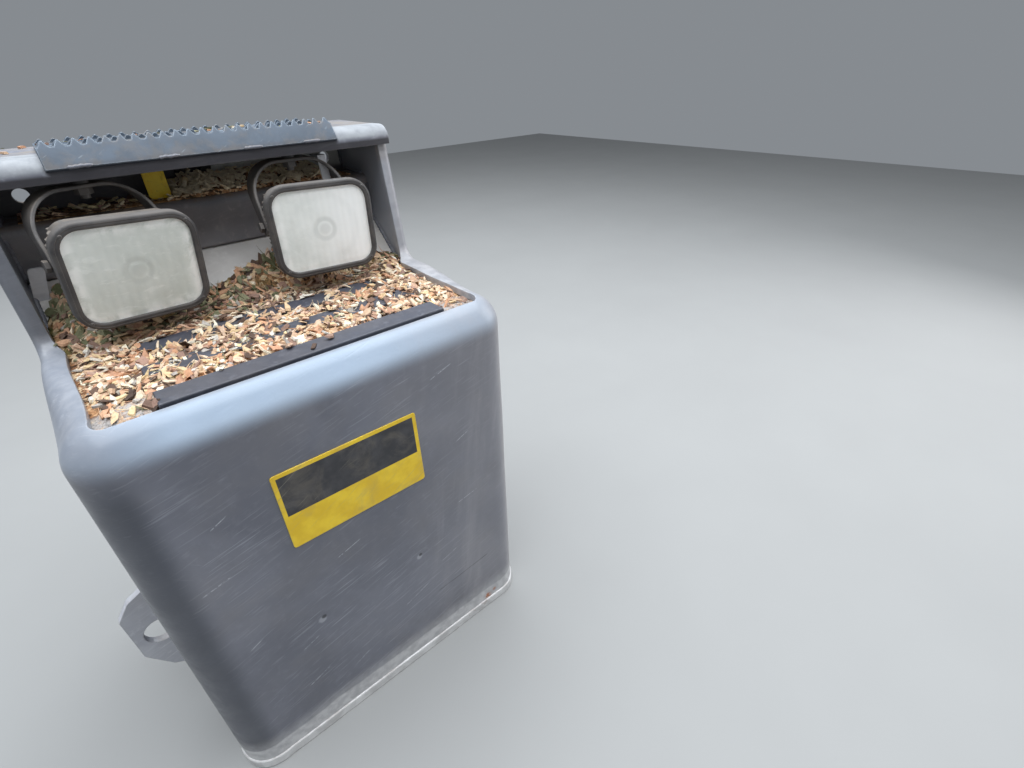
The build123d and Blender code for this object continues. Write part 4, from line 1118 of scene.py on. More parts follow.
def lamp(name, *pose):
    c, x, v, n = lamp_frame(*pose)

    def at(u, w, d):
        """Lamp coordinates: right, up, depth behind the lens."""
        return c + x * u + v * w - n * d

    def loft(b, rings, cap0=True, cap1=True, arc=7, side=5, close=False):
        rows_ = [b.add([at(u, w, d) for u, w in rounded(W, H, R, arc, side)]) for W, H, R, d in rings]
        b.grid(rows_, close_v=True, close_u=close)
        if not close:
            if cap0:
                b.face(rows_[0])
            if cap1:
                b.face(rows_[-1][::-1])
        return rows_

    head = name + "_head"
    # bezel: a rounded frame with a small inner step
    b = Build()
    prof = [(8.5, 0.0), (8.4, -1.6), (7.8, -2.6), (6.9, -3.0), (5.2, -3.0), (4.7, -2.6), (4.0, -2.55), (3.5, -2.9),
            (2.4, -2.6), (1.1, -1.9), (0.3, -0.8), (0.0, 0.8), (0.0, 4.5), (0.0, 7.9), (0.7, 8.8), (1.6, 9.0),
            (2.5, 8.6), (2.55, 3.2), (5.7, 3.1), (5.8, 0.15)]
    loft(b, [(146 - 2 * i, 125 - 2 * i, 29 - i, d) for i, d in prof], close=True)
    # small screws in the frame's corners
    for su in (-1, 1):
        for sw in (-1, 1):
            pu, pw = su * 61.0, sw * 50.5
            ring0 = [(pu + 2.0 * math.cos(a), pw + 2.0 * math.sin(a)) for a in np.linspace(0, 2 * math.pi, 10, endpoint=False)]
            r0 = b.add([at(u, w, -1.5) for u, w in ring0])
            r1 = b.add([at(u, w, -3.2) for u, w in ring0])
            r2 = b.add([at(pu + (u - pu) * 0.75, pw + (w - pw) * 0.75, -3.75) for u, w in ring0])
            b.grid([r0, r1, r2], close_v=True)
            b.face(r2)
            b.face(r0[::-1])
    piece(name + "_rim", b, M["frame"], head, (name + "_bezel",), sharp=45)

    # glass: pillow cells over its middle, a smooth round eye and a plain rim
    b = Build()
    W, H, R, T = 134.0, 112.0, 24.0, 3.0
    nu, nv = 85, 71
    us, vs = np.linspace(-1, 1, nu), np.linspace(-1, 1, nv)
    place = []

    def clamp_in(u, w, hw, hh, r):
        """Keeps a grid point inside the rounded outline."""
        ax, ay = abs(u) - (hw - r), abs(w) - (hh - r)
        if ax > 0 and ay > 0:
            d = math.hypot(ax, ay)
            m = max(ax, ay)
            k = m / d
            return math.copysign(hw - r + ax * k, u), math.copysign(hh - r + ay * k, w)
        return u, w

    top = []
    for j, sv in enumerate(vs):
        line = []
        for i, su in enumerate(us):
            u, w = clamp_in(su * W / 2, sv * H / 2, W / 2, H / 2, R)
            rad = math.hypot(u, w)
            in_x, in_y = W / 2 - abs(u), H / 2 - abs(w)
            e = min(in_x, in_y)
            amp = float(smooth((e - 4.0) / 4.0)) * (1 - float(smooth((15 - rad) / 5.0)))
            cell = abs(math.sin(u * math.pi / 9.0)) ** 0.7 * 0.55 + abs(math.sin(w * math.pi / 13.0)) ** 0.8 * 0.25
            bulge = 0.9 * (1 - (u / 67) ** 2) * (1 - (w / 56) ** 2)
            d = 0.15 - 0.45 * cell * amp - 0.5 * bulge
            if rad < 15:
                d -= 0.35 * math.cos(min(rad / 12.0, 1) * math.pi / 2)
            if i in (0, nu - 1) or j in (0, nv - 1):
                d = 0.5
            line += b.add([at(u, w, d)])
            place.append((u * 0.001, w * 0.001, 0))
        top.append(line)
    b.grid(top)
    border = [(0, i) for i in range(nu)] + [(j, nu - 1) for j in range(1, nv)] + \
             [(nv - 1, i) for i in range(nu - 2, -1, -1)] + [(j, 0) for j in range(nv - 2, 0, -1)]
    rim = [top[j][i] for j, i in border]
    back = []
    for j, i in border:
        u, w = clamp_in(us[i] * W / 2, vs[j] * H / 2, W / 2, H / 2, R)
        back += b.add([at(u, w, T)])
        place.append((u * 0.001, w * 0.001, 0.003))
    b.grid([rim, back], close_v=True)
    b.face(back)
    piece(name + "_pane", b, M["glass"], head, (name + "_lens",), sharp=50, weighted=False,
          attrs={"place": np.array(place)}, merge=0)

    # housing: flange, finned sides, tapered back, bosses and a cable gland
    b = Build()
    loft(b, [(139.6, 118.6, 25.8, 3.2), (140.6, 119.6, 26.3, 3.8), (140.6, 119.6, 26.3, 10.2), (139.6, 118.6, 25.8, 11.0),
             (126, 112, 22, 11.4), (124, 110, 19, 13.0), (124, 110, 19, 34.0), (126, 111, 19.5, 36.0), (128, 111, 20, 38.0),
             (124, 108, 20, 42.0), (104, 88, 15.5, 73.0), (100, 84, 14.0, 75.4), (97, 81, 13, 76.0)])
    for w0 in np.arange(-45.0, 45.1, 6.0):
        for su in (-1, 1):
            outer = 69.5 - max(0.0, abs(w0) - 30) ** 2 * 0.024
            prof = [(56.0, 10.6), (outer - 4.0, 10.6), (outer, 15.0), (outer, 31.0), (outer - 5.0, 39.0), (61.0, 45.0),
                    (54.0, 50.0)]
            lo_, hi_ = [], []
            for u, d in prof:
                thin = 0.85 if u > 62 else 1.25
                lo_.append(at(su * u, w0 - thin, d))
                hi_.append(at(su * u, w0 + thin, d))
            a1, a2 = b.add(lo_), b.add(hi_)
            b.face(a1)
            b.face(a2[::-1])
            for i in range(len(prof)):
                k = (i + 1) % len(prof)
                b.face([a1[i], a1[k], a2[k], a2[i]])
    for su in (-1, 1):                            # bosses
        rings = []
        for r, u in ((12.5, 46.0), (11.0, 52.0), (11.0, 59.4), (10.0, 60.3)):
            rings.append(b.add([at(su * u, r * math.sin(a), 60.0 + r * math.cos(a))
                                for a in np.linspace(0, 2 * math.pi, 20, endpoint=False)]))
        b.grid(rings, close_v=True)
        b.face(rings[-1])
        b.face(rings[0][::-1])
    rings = []
    for r, d in ((9.0, 72.0), (8.6, 75.4), (6.5, 75.9), (5.0, 75.9)):
        rings.append(b.add([at(r * math.cos(a), -18 + r * math.sin(a), d)
                            for a in np.linspace(0, 2 * math.pi, 16, endpoint=False)]))
    b.grid(rings, close_v=True)
    b.face(rings[-1])
    b.face(rings[0][::-1])
    piece(name + "_case", b, M["case"], head, (name + "_housing",), sharp=35, bevel=0.35, segments=1, merge=0)


def yoke(name, *pose):
    """Bent strap over the lamp: a bridge with wide bends and two arms that lean back from the pivots."""
    c, x, v, n = lamp_frame(*pose)
    pivot = c - n * 60.0
    depth = np.cross((0.0, 0.0, 1.0), x)
    depth /= np.linalg.norm(depth)
    lean = np.cross(x, depth)
    across = np.cross(depth, (0.0, 0.0, 1.0))
    rise = (790.0 - pivot[2]) / lean[2]
    tip = x[2] / math.hypot(x[0], x[1])
    R, half, T = 44.0, 64.0, 4.0
    top_w = 788.0 - pivot[2]

    def front(w):
        hi_v, hi_w = 32.0, rise + 6.0
        d = math.hypot(hi_v, hi_w)
        a = math.atan2(hi_w, hi_v) + math.acos(13.0 / d)
        tv, tw = 13.0 * math.cos(a), 13.0 * math.sin(a)
        if w <= tw:
            return -math.sqrt(max(0.0, 169.0 - min(w * w, 169.0)))
        return lerp(tv, hi_v, (w - tw) / (hi_w - tw))

    def rear(w):
        hi_v, hi_w = 58.0, rise - 18.0
        d = math.hypot(hi_v, hi_w)
        a = math.atan2(hi_w, hi_v) - math.acos(13.0 / d)
        tv, tw = 13.0 * math.cos(a), 13.0 * math.sin(a)
        if w <= tw:
            return math.sqrt(max(0.0, 169.0 - min(w * w, 169.0)))
        return min(58.0, lerp(tv, hi_v, (w - tw) / (hi_w - tw)))

    path = []
    for side in (-1, 1):
        arm = []
        shift = side * half * tip
        for w in list(-13.0 * np.cos(np.linspace(0.25, math.pi / 2, 7))) + list(np.linspace(3.0, top_w - R - shift, 9)):
            arm.append((side * half, w + shift, side * 1.0, 0.0))
        for a in np.radians(np.linspace(0, 90, 13))[1:]:
            arm.append((side * (half - R + R * math.cos(a)), top_w - R + R * math.sin(a), side * math.cos(a), math.sin(a)))
        path.append(arm)
    stations = path[0] + path[1][::-1]
    b = Build()
    rings = []
    for u, w, nu, nw in stations:
        q = w - u * tip
        f, r = front(q), rear(q)
        e = min(0.9, (r - f) * 0.25)
        ring = []
        for off, dv in ((T / 2, f + e), (T / 2, r - e), (T / 2 - e, r), (-T / 2 + e, r), (-T / 2, r - e), (-T / 2, f + e),
                        (-T / 2 + e, f), (T / 2 - e, f)):
            ring.append(pivot + across * (u + nu * off) + np.array((0.0, 0.0, 1.0)) * (w + nw * off) + depth * dv)
        rings.append(b.add(ring))
    b.grid(rings, close_v=True)
    b.face(rings[0])
    b.face(rings[-1][::-1])
    piece(name + "_strap_yoke", b, M["yoke"], name + "_bracket", (name + "_yoke",), sharp=40)


for spec in LAMPS:
    lamp(*spec)
    yoke(*spec)


# ================================================================ litter on it
BARS = [46.0, 117.0, 188.0]
BARE = [(-169, -98, 188), (-84, -34, 188), (-14, 78, 188), (90, 152, 188), (-26, 60, 117), (84, 128, 117), (138, 164, 117)]
HEAP_X = [-240.0, -228.0, -215.0, -190.0, -165.0, -110.0, -58.0, -43.0, -19.0, 6.0, 35.0, 58.0, 90.0, 130.0, 170.0, 240.0]
HEAP_Y = [296.0, 308.0, 329.0, 333.0, 326.0, 296.0, 291.0, 294.0, 301.0, 307.0, 314.0, 318.0, 310.0, 298.0, 289.0, 282.0]


def heap_end(x):
    """How far back the litter has climbed the slope."""
    return np.interp(x, HEAP_X, HEAP_Y)


def slope_z(y):
    return FLOOR_Z + np.maximum(0.0, np.asarray(y, float) - 262.0) * 1.0133


def inner_edge(y, side=-1):
    """Distance from the middle to a flanged rim at a depth."""
    y = np.asarray(y, float)
    front = 214.0 + np.sqrt(np.maximum(0.0, 14.0 ** 2 - (46.0 - np.minimum(y, 46.0)) ** 2))
    return np.where(y > 46.0, out_x(y) - np.where(y > 250.0, 17.0, rim_width(y, side)), front)


def bare_mask(x, y):
    """1 where a tread bar shows through the litter."""
    m = np.zeros_like(x)
    front = smooth((172 - np.abs(x)) / 5.0) * smooth((70 - y) / 5.0)
    m = np.maximum(m, front)
    for x0, x1, yc in BARE:
        k = smooth((x - x0 + 6) / 12.0) * smooth((x1 + 6 - x) / 12.0) * smooth((17 - np.abs(y - yc)) / 5.0)
        m = np.maximum(m, k)
    return m


def wave(x, y, scale, seed):
    out = np.zeros(np.shape(x))
    flat = out.ravel()
    xs, ys = np.broadcast_to(x, out.shape).ravel(), np.broadcast_to(y, out.shape).ravel()
    for i in range(flat.size):
        flat[i] = noise.noise(Vector((xs[i] / scale, ys[i] / scale, seed)))
    return flat.reshape(out.shape)


JOINTS = [("lamp_left", (-143.57, 308.59, 790.0), (-139.94, 263.44, 712.04), (0.97914, 0.19228, -0.06568), (-13, 12), (-27, 17)),
          ("lamp_right", (107.14, 309.74, 790.0), (102.64, 264.91, 707.63), (0.9983, -0.05204, -0.02618), (-17, 23), (-20, 25))]


def turned(p, centre, axis, angle):
    c, k, a = np.array(centre), np.array(axis) / np.linalg.norm(axis), math.radians(angle)
    q = p - c
    return c + q * math.cos(a) + np.cross(k, q) * math.sin(a) + np.outer(q @ k, k) * (1 - math.cos(a))


def swept_grid():
    """Lowest height that the lamps reach over each 4 mm square as they swivel and tilt."""
    grid = np.full((126, 66), 900.0)
    for name, stud, pivot, axis, swivel, tilt in JOINTS:
        pts = []
        for part in ("_rim", "_case"):
            me = bpy.data.objects[name + part].data
            co = np.array([v.co[:] for v in me.vertices])
            ed = np.array([e.vertices[:] for e in me.edges])
            for t in np.linspace(0, 1, 7):
                pts.append(co[ed[:, 0]] * (1 - t) + co[ed[:, 1]] * t)
        p = np.vstack(pts) * 1000.0 + (0.0, 432.0, 500.0)
        p = p[p[:, 2] < pivot[2] + 15.0]
        for a in np.linspace(*tilt, 8):
            tilted = turned(p, pivot, axis, a)
            for c in np.linspace(*swivel, 6):
                q = turned(tilted, stud, (0, 0, 1), c)
                i = np.clip(((q[:, 0] + 252.0) / 4.0).astype(int), 0, 125)
                j = np.clip(((q[:, 1] - 102.0) / 4.0).astype(int), 0, 65)
                np.minimum.at(grid, (i, j), q[:, 2])
    for _ in range(2):
        wide = np.pad(grid, 1, mode="edge")
        grid = np.min([wide[a:a + 126, c:c + 66] for a in range(3) for c in range(3)], axis=0)
    return grid


SWEPT = swept_grid()


def clear_floor(x, y):
    x, y = np.broadcast_arrays(np.asarray(x, float), np.asarray(y, float))
    i = np.clip(((x + 252.0) / 4.0).astype(int), 0, 125)
    j = np.clip(((y - 102.0) / 4.0).astype(int), 0, 65)
    return np.where(y < 102.0, 900.0, SWEPT[i, j])


def bed_height(x, y):
    """Height of the litter bed over the lower tread."""
    end = heap_end(x)
    t = np.clip((y - 222.0) / (end - 222.0), 0.0, 1.0)
    heap = (slope_z(end) + 1.5 - 615.5) * t ** 1.35
    h = 615.5 + heap + 3.0 * wave(x, y, 34.0, 3.0) * (1 - 0.5 * t) + 1.6 * wave(x, y, 11.0, 8.0)
    h = np.where(y > end, slope_z(y) - 1.5, h)
    rim = smooth((np.abs(x) - inner_edge(y, np.sign(x)) + 18) / 15.0) * smooth((250 - y) / 40.0)
    h = lerp(h, 611.0 + 1.0 * wave(x, y, 9.0, 2.0), rim)
    h = np.where(y < 75, h - 2.5, h)
    h = lerp(h, 609.0 + 0 * h, bare_mask(x, y) * np.where(y < 200, 1.0, 0.8))
    h = h - 4.0 * smooth((38 - y) / 10.0)
    lowest = np.where(np.asarray(y) > 266, slope_z(y) - 1.5, 604.4)
    return np.maximum(np.minimum(h, clear_floor(x, y) - 10.5), lowest)


def litter_bed(name, xs, ys, height, low, green, pale):
    X, Y = np.meshgrid(xs, ys)
    if name == "litter_bed_lower":
        X = X / 234.0 * (inner_edge(Y, np.sign(X)) + 0.5)
    Z = height(X, Y)
    b = Build()
    rows_ = []
    for j in range(len(ys)):
        rows_.append(b.add(np.stack([X[j], Y[j], Z[j]], 1)))
    b.grid(rows_)
    ny, nx = X.shape
    border = [(0, i) for i in range(nx)] + [(j, nx - 1) for j in range(1, ny)] + \
             [(ny - 1, i) for i in range(nx - 2, -1, -1)] + [(j, 0) for j in range(ny - 2, 0, -1)]
    rim = [rows_[j][i] for j, i in border]
    under = [b.add([(X[j, i], Y[j, i], low(Y[j, i])) for i in range(nx)]) for j in range(ny)]
    b.grid([rim, [under[j][i] for j, i in border]], close_v=True)
    b.grid([row[::-1] for row in under])
    pts = np.array(b.v)
    return piece(name, b, M["bed"], sharp=80, weighted=False, merge=0,
                 attrs={"green": green(pts[:, 0], pts[:, 1]), "pale": pale(pts[:, 0], pts[:, 1])})


def green_at(x, y):
    """Moss and needles, mostly under the left lamp and between the lamps."""
    end = heap_end(x)
    return np.maximum(smooth((y - end + 34.0) / 16.0) * 0.95, smooth((y - 212) / 34.0) * smooth((70 - x) / 90.0) * 0.75)


def pale_at(x, y):
    return smooth((np.abs(x) - 160) / 8.0) * smooth((72 - y) / 8.0)


litter_bed("litter_bed_lower", np.linspace(-234, 234, 150), np.linspace(27.0, 335.0, 104), bed_height,
           lambda y: 603.4 + max(0.0, y - 262.0) * 1.0133 - 4.0 * min(1.0, max(0.0, y - 258.0) / 4.0), green_at, pale_at)


def ledge_height(x, y):
    on = smooth((x + 70) / 50.0) * smooth((200 - x) / 40.0)
    rise = (4.0 + 17.0 * smooth((y - 352) / 66.0)) * on + 1.6
    return 748.0 + rise + 2.2 * wave(x, y, 22.0, 5.0) * (0.3 + on)


litter_bed("litter_bed_ledge", np.linspace(-218, 216, 120), np.linspace(349.0, 418.5, 24), ledge_height,
           lambda y: 748.3, lambda x, y: 0.25 * smooth((40 - x) / 60.0), lambda x, y: 0 * x)


def chip_shapes(g):
    """Base shapes, one millimetre long and wide before scaling: points, faces and family."""
    shapes = []
    for k in range(7):                                   # split wood chips
        n = int(g.integers(5, 8))
        ang = np.sort(g.uniform(0, 2 * math.pi, n) * 0.25 + np.linspace(0, 2 * math.pi, n, endpoint=False))
        r = g.uniform(0.38, 0.55, n)
        out = np.stack([r * np.cos(ang), r * np.sin(ang)], 1)
        out[:, 0] *= np.where(np.abs(out[:, 0]) > 0.3, 1.15, 1.0)
        shift = g.normal(0, 0.05, 2)
        top = np.column_stack([out * 0.86 + shift, np.full(n, 0.5) + g.normal(0, 0.12, n)])
        low = np.column_stack([out, np.full(n, -0.5)])
        v = np.vstack([top, low])
        f = [list(range(n)), list(range(2 * n - 1, n - 1, -1))]
        f += [[i, n + i, n + (i + 1) % n, (i + 1) % n] for i in range(n)]
        shapes.append((v, f, "chip"))
    for k in range(5):                                   # curved bark flakes
        cols, rws = 4, 3
        X, Y = np.meshgrid(np.linspace(-0.5, 0.5, cols), np.linspace(-0.5, 0.5, rws))
        X = X + g.normal(0, 0.05, X.shape)
        Y = Y + g.normal(0, 0.06, Y.shape)
        Z = g.uniform(0.8, 2.4) * (0.25 - Y ** 2) * 1.2 + g.normal(0, 0.08, X.shape)
        top = np.column_stack([X.ravel(), Y.ravel(), Z.ravel() + 0.5])
        low = np.column_stack([X.ravel(), Y.ravel(), Z.ravel() - 0.3])
        v = np.vstack([top, low])
        n = cols * rws
        f = []
        for j in range(rws - 1):
            for i in range(cols - 1):
                a = j * cols + i
                f.append([a, a + 1, a + cols + 1, a + cols])
                f.append([n + a + cols, n + a + cols + 1, n + a + 1, n + a])
        rim = [i for i in range(cols)] + [cols * (j + 1) - 1 for j in range(1, rws)] + \
              [n - 1 - i for i in range(1, cols)] + [cols * j for j in range(rws - 2, 0, -1)]
        f += [[rim[(i + 1) % len(rim)], rim[i], n + rim[i], n + rim[(i + 1) % len(rim)]] for i in range(len(rim))]
        shapes.append((v, f, "bark"))
    for k in range(3):                                   # needles
        b = Build()
        bend = g.uniform(-0.16, 0.16, 2)
        t = np.linspace(-0.5, 0.5, 4)
        pts = []
        rings = []
        for i, s in enumerate(t):
            r = 0.5 * (0.35 if i in (0, 3) else 1.0)
            yb = bend[0] * (0.25 - s * s) * 12
            ring = b.add([(s, yb + r * math.cos(a), r * math.sin(a) + 0.4) for a in (0.4, 2.5, 4.6)])
            rings.append(ring)
        b.grid(rings, close_v=True)
        b.face(rings[0])
        b.face(rings[-1][::-1])
        shapes.append((np.array(b.v), b.f, "needle"))
    for k in range(2):                                   # small dry leaves, folded along the rib
        n = 6
        s = np.linspace(-0.5, 0.5, n)
        half = 0.32 * np.sqrt(np.clip(1 - (s * 2) ** 2, 0, 1)) * (1 - 0.5 * s) + 0.02
        fold = g.uniform(0.6, 1.6)
        v, f = [], []
        for i in range(n):
            z = 0.7 * math.sin(s[i] * 3.0 + k)
            for o in (-1, 0, 1):
                v.append((s[i], o * half[i], abs(o) * half[i] * fold * 1.6 + z + 0.5))
        m = len(v)
        v += [(x, y, z - 0.5) for x, y, z in v]
        for i in range(n - 1):
            for o in range(2):
                a = i * 3 + o
                f.append([a, a + 1, a + 4, a + 3])
                f.append([m + a + 3, m + a + 4, m + a + 1, m + a])
        rim = [0, 1, 2] + [3 * i + 2 for i in range(1, n)] + [3 * n - 2, 3 * n - 3] + [3 * i for i in range(n - 2, 0, -1)]
        f += [[rim[(i + 1) % len(rim)], rim[i], m + rim[i], m + rim[(i + 1) % len(rim)]] for i in range(len(rim))]
        shapes.append((np.array(v, float), f, "leaf"))
    return shapes


SHAPES = chip_shapes(np.random.default_rng(11))


def scatter(name, spots, kinds, seed, height, tint, lift=1.6, tilt=0.32, size=1.0, look="chips", under=None):
    """Chips at (x, y) spots over a height field. kinds: shares of chip, bark, needle and leaf."""
    g = np.random.default_rng(seed)
    dims = {"chip": ((9, 27), (4.2, 11.5), (1.1, 2.8)), "bark": ((8, 21), (5, 13), (0.8, 1.6)),
            "needle": ((14, 32), (0.9, 1.3), (0.9, 1.2)), "leaf": ((11, 20), (10, 16), (0.5, 0.9))}
    fams = list(dims)
    pick = g.choice(len(fams), len(spots), p=np.array(kinds) / sum(kinds))
    allv, allf, tints = [], [], []
    base = 0
    xs, ys = spots[:, 0], spots[:, 1]
    z0 = height(xs, ys)
    lean_x = np.clip((height(xs + 7, ys) - height(xs - 7, ys)) / 14.0, -1.1, 1.1)
    lean_y = np.clip((height(xs, ys + 7) - height(xs, ys - 7)) / 14.0, -1.1, 1.1)
    for i, (x, y) in enumerate(spots):
        fam = fams[pick[i]]
        options = [s for s in SHAPES if s[2] == fam]
        v, f, _ = options[int(g.integers(len(options)))]
        (l0, l1), (w0, w1), (t0, t1) = dims[fam]
        k = g.beta(1.7, 2.6)
        sx, sy, sz = l0 + (l1 - l0) * k, g.uniform(w0, w1), g.uniform(t0, t1)
        if fam == "leaf":
            sy = sx * g.uniform(0.7, 0.9)
        p = v * (sx * size, sy * (size if fam != "needle" else 1), sz)
        yaw = g.uniform(0, 2 * math.pi)
        a, c = g.normal(0, tilt, 2)
        a, c = np.clip(a, -0.9, 0.9), np.clip(c, -0.9, 0.9)
        ca, sa, cc, sc, cy, sy_ = math.cos(a), math.sin(a), math.cos(c), math.sin(c), math.cos(yaw), math.sin(yaw)
        rx = np.array([[1, 0, 0], [0, ca, -sa], [0, sa, ca]])
        ry = np.array([[cc, 0, sc], [0, 1, 0], [-sc, 0, cc]])
        rz = np.array([[cy, -sy_, 0], [sy_, cy, 0], [0, 0, 1]])
        p = p @ (rz @ ry @ rx).T
        p[:, 2] += p[:, 0] * lean_x[i] + p[:, 1] * lean_y[i]
        z = z0[i] + sz * 0.4 + abs(g.normal(0, lift)) * 0.7 + abs(sc) * sx * 0.18
        p = p + (x, y, z)
        if under is not None and np.any(p[:, 2] > under(p[:, 0], p[:, 1]) - 4.0):
            continue
        allv.append(p)
        allf += [[base + q for q in face] for face in f]
        base += len(p)
        tints += [tint(g, fam, x, y)] * len(p)
    b = Build()
    b.v = [tuple(q) for q in np.vstack(allv)]
    b.f, b.m = allf, [0] * len(allf)
    return piece(name, b, M[look], sharp=35, weighted=False, merge=0, attrs={"tint": np.array(tints)})


def tint_of(g, fam, x, y):
    green = float(green_at(np.array(float(x)), np.array(float(y))))
    if fam == "needle":
        return g.uniform(0.92, 1.0) if g.random() < 0.25 + 0.5 * green else g.uniform(0.22, 0.55)
    if fam == "bark":
        return g.uniform(0.93, 1.0) if g.random() < 0.35 * green else g.uniform(0.0, 0.30)
    if fam == "leaf":
        return g.uniform(0.30, 0.60)
    if g.random() < 0.50 * green:
        return g.uniform(0.94, 1.0)
    if g.random() < 0.12:
        return g.uniform(0.84, 0.93)
    return float(np.clip(g.normal(0.52 - 0.26 * green, 0.19), 0.06, 0.82))


def lower_spots(n, seed):
    g = np.random.default_rng(seed)
    got = []
    while len(got) < n:
        x, y = g.uniform(-238, 238, 4000), g.uniform(30, 333, 4000)
        keep = g.random(4000) > bare_mask(x, y) * np.where(y < 70, 0.992, 0.95)
        keep &= g.random(4000) < np.where(y < 40, 0.20, 1.0)
        keep &= np.abs(x) < inner_edge(y, np.sign(x)) - np.where(y < 80, 9.0, 6.0)
        keep &= y < heap_end(x) - 2.0
        keep &= bed_or_bar(x, y) < clear_floor(x, y) - 7.5
        keep &= g.random(4000) > pale_at(x, y) * 0.60
        got += list(zip(x[keep], y[keep]))
    return np.array(got[:n])


def bed_or_bar(x, y):
    """Litter bed, or the bar's top where that is higher."""
    h = bed_height(x, y)
    on = np.zeros_like(h, dtype=bool)
    for yc in BARS:
        on |= (np.abs(y - yc) < 17) & (np.abs(x) < 170) & (bare_mask(x, y) > 0.05)
    h = np.where(on, np.maximum(h, 619.0), h)
    return np.maximum(h, slope_z(y))


scatter("litter_lower", lower_spots(3500, 5), (64, 15, 16, 5), 21, bed_or_bar, tint_of, under=clear_floor)


def ledge_spots(n, seed):
    g = np.random.default_rng(seed)
    got = []
    while len(got) < n:
        x, y = g.uniform(-214, 212, 2000), g.uniform(348, 414, 2000)
        w = lerp(0.22, 1.0, smooth((x + 86) / 60.0)) * smooth((214 - x) / 40.0)
        keep = g.random(2000) < w
        got += list(zip(x[keep], y[keep]))
    return np.array(got[:n])


# the ledge litter uses the lighter painted copy: painted light
scatter("litter_ledge", ledge_spots(470, 9), (66, 16, 14, 4), 33, ledge_height,
        lambda g, fam, x, y: float(np.clip(g.normal((0.68 if fam == "chip" else 0.45) - 0.4 * (x < -70), 0.13), 0, 0.83)),
        look="chips_painted_lit")


def stray_spots():
    g = np.random.default_rng(17)
    pts = [(g.uniform(-240, 240), g.uniform(330, 425)) for _ in range(34)]
    return np.array(pts)


def top_height(x, y):
    return np.where((np.abs(x) < 170) & (y > 284) & (y < 402), 829.2, 824.4) + 0 * x


scatter("litter_top", stray_spots(), (55, 20, 25, 2), 45, top_height, tint_of, lift=0.2, tilt=0.06, size=0.8)


def twigs():
    b = Build()
    g = np.random.default_rng(23)
    tints = []
    for k in range(34):
        x, y = g.uniform(-215, 215), g.uniform(78, 255)
        if bare_mask(np.array(x), np.array(y)) > 0.4:
            continue
        length, yaw = g.uniform(22, 62), g.uniform(0, math.pi)
        r = g.uniform(0.9, 1.9)
        pts = []
        n = 6
        bend = g.uniform(-0.12, 0.12)
        for i in range(n):
            s = (i / (n - 1) - 0.5) * length
            px = x + math.cos(yaw) * s - math.sin(yaw) * bend * (s * s / length)
            py = y + math.sin(yaw) * s + math.cos(yaw) * bend * (s * s / length)
            px, py = float(np.clip(px, -229, 229)), float(np.clip(py, 36, 268))
            pts.append((px, py, float(bed_or_bar(np.array(px), np.array(py))) + 2.2 + 1.2 * math.sin(i * 1.3 + k)))
        before = len(b.v)
        tube(b, pts, [r * (0.6 if i in (0, n - 1) else g.uniform(0.85, 1.1)) for i in range(n)], sides=6)
        tints += [g.choice([0.05, 0.14, 0.38, 0.66])] * (len(b.v) - before)
    piece("litter_twigs", b, M["chips"], sharp=60, weighted=False, merge=0, attrs={"tint": np.array(tints)})


twigs()


# ====================================================================== welds
def welds():
    b = Build()
    r = 3.2
    for sx in (-1, 1):
        def seam(y0, z0, y1, z1, seed):
            weld_bead(b, (sx * (in_x(y0) - 0.8), y0, z0), (sx * (in_x(y1) - 0.8), y1, z1), r, seed=seed)

        seam(262, 604.5, 336, 679.5, 3 + sx)
        seam(336.5, 684, 336.5, 735, 5 + sx)
        seam(350, 748.6, 416, 748.6, 8 + sx)
        seam(419.3, 754, 419.3, 812, 11 + sx)
        seam(292, 815.2, 416, 815.2, 14 + sx)
        seam(172, 20, 204, 20, 17 + sx)
        # outer corner seams between cheek and mounting plate
        weld_bead(b, (sx * 248.5, 419.8, 156), (sx * 248.5, 419.8, 812), 2.6, seed=19 + sx)
    weld_bead(b, (-234, 262, 602.2), (234, 262, 602.2), 2.6, seed=31)
    for y in BARS:                                   # stitches beside the bars' ends
        for sx in (-1, 1):
            weld_bead(b, (sx * 171, y - 12, 604), (sx * 171, y + 12, 604), 2.6, seed=int(y) + sx)
    for z0, z1 in ((112, 150), (210, 262)):          # eye plate to cheek
        for y in (180, 192):
            weld_bead(b, (-out_x(y) - 1, y, z0), (-out_x(y) - 1, y, z1), 3.0, seed=int(z0) + y)
    for x0 in (-150, -60, 40, 120):                  # grip tread to top plate
        weld_bead(b, (x0, 403, 825), (x0 + 26, 403, 825), 2.4, seed=int(x0) + 400)
        weld_bead(b, (x0, 268.5, 812), (x0 + 24, 268.5, 812), 2.2, seed=int(x0) + 700)
    piece("weld_beads", b, M["grey"], sharp=70, weighted=False, merge=0)


welds()


def membrane():
    """Thin rubber skin with a slit cross that closes the cable grommet."""
    b = Build()
    rings = []
    for r, y in ((13.0, 419.0), (13.0, 421.2), (9.0, 421.0), (4.0, 422.4)):
        rings.append(b.add([(r * math.cos(a), y, 785 + r * math.sin(a)) for a in np.linspace(0, 2 * math.pi, 24, endpoint=False)]))
    b.grid(rings, close_v=True)
    b.face(rings[0][::-1])
    b.face(rings[-1])
    for k in range(4):
        a = math.radians(45 + 90 * k)
        c, sn = math.cos(a), math.sin(a)
        slab(b, [(0.0, -0.5), (9.5, -0.5), (9.5, 0.5), (0.0, 0.5)], (0, 418.4, 785), (c, 0, sn), (-sn, 0, c), (0, 1, 0), 1.4)
    piece("grommet_membrane", b, M["rubber"], sharp=40, merge=0)


membrane()


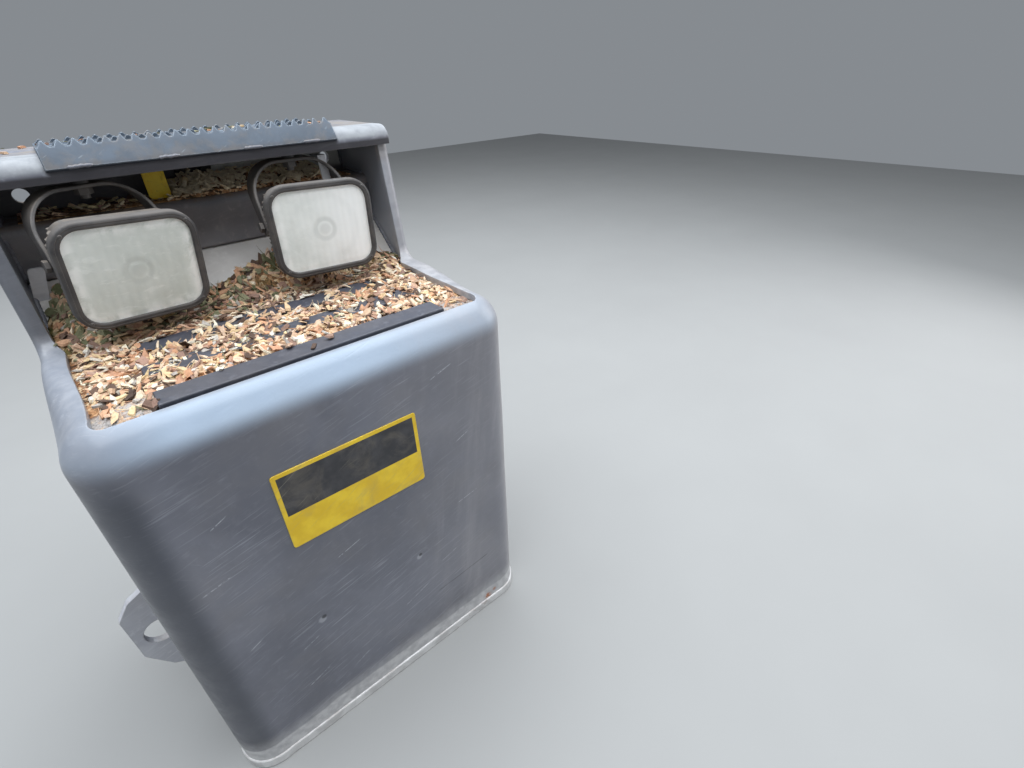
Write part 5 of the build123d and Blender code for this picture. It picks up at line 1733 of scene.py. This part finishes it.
def lamp_tab():
    """Pale folded strap at the right end of the right lamp's bridge."""
    b = Build()
    slab(b, [(2, 0), (11, 0), (13, 3), (13, 34), (0, 34), (0, 3)], (146.5, 294.0, 754.0), (0.995, 0.10, 0.0),
         (-0.06, 0.02, 1.0), (-0.10, 0.995, 0.0), 3.0)
    slab(b, [(0, 0), (13, 0), (13, 24), (0, 24)], (144.5, 294.2, 787.4), (0.995, 0.10, 0.0), (-0.10, 0.995, 0.0),
         (0, 0, 1), 2.6)
    piece("lamp_right_strap", b, M["tab"], "lamp_right_bracket", sharp=30, bevel=0.7, merge=0)


lamp_tab()


# ============================================================== CAD nodes shown
def dress(node, mat, bevel=0.0, angle=40.0):
    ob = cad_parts[node]
    if not ob.material_slots:
        ob.data.materials.append(mat)
    for s in ob.material_slots:
        s.material = mat
    if bevel:
        m = ob.modifiers.new("join", "WELD")
        m.merge_threshold = 2e-6
        m = ob.modifiers.new("plain", "DECIMATE")
        m.decimate_type, m.angle_limit = "DISSOLVE", math.radians(1.0)
        m = ob.modifiers.new("edges", "BEVEL")
        m.width, m.segments, m.limit_method = bevel * 0.001, 2, "ANGLE"
        m.angle_limit = math.radians(angle)
        m = ob.modifiers.new("normals", "WEIGHTED_NORMAL")
        m.weight = 80


for node, mat, bev in (("lower_tread", "slate", 0), ("tread_bars", "bar", 0), ("back_slope", "slope", 0.8),
                       ("cross_member", "cross", 0), ("mounting_plate", "wall", 1.0), ("cable_grommet", "rubber", 0),
                       ("face_stiffener", "inner", 0.8), ("lower_brace", "inner", 0.8), ("lashing_eye", "plate", 1.6),
                       ("harness_tab", "tab", 0.8), ("hanging_tag", "tag", 0.5),
                       ("lamp_left_stud", "yoke", 0), ("lamp_right_stud", "yoke", 0),
                       ("lamp_left_reflector", "chrome", 0), ("lamp_right_reflector", "chrome", 0),
                       ("lamp_left_bulb", "bulb", 0), ("lamp_right_bulb", "bulb", 0),
                       ("lamp_left_pivot_bolts", "yoke", 0.5), ("lamp_right_pivot_bolts", "yoke", 0.5)):
    dress(node, M[mat], bev)
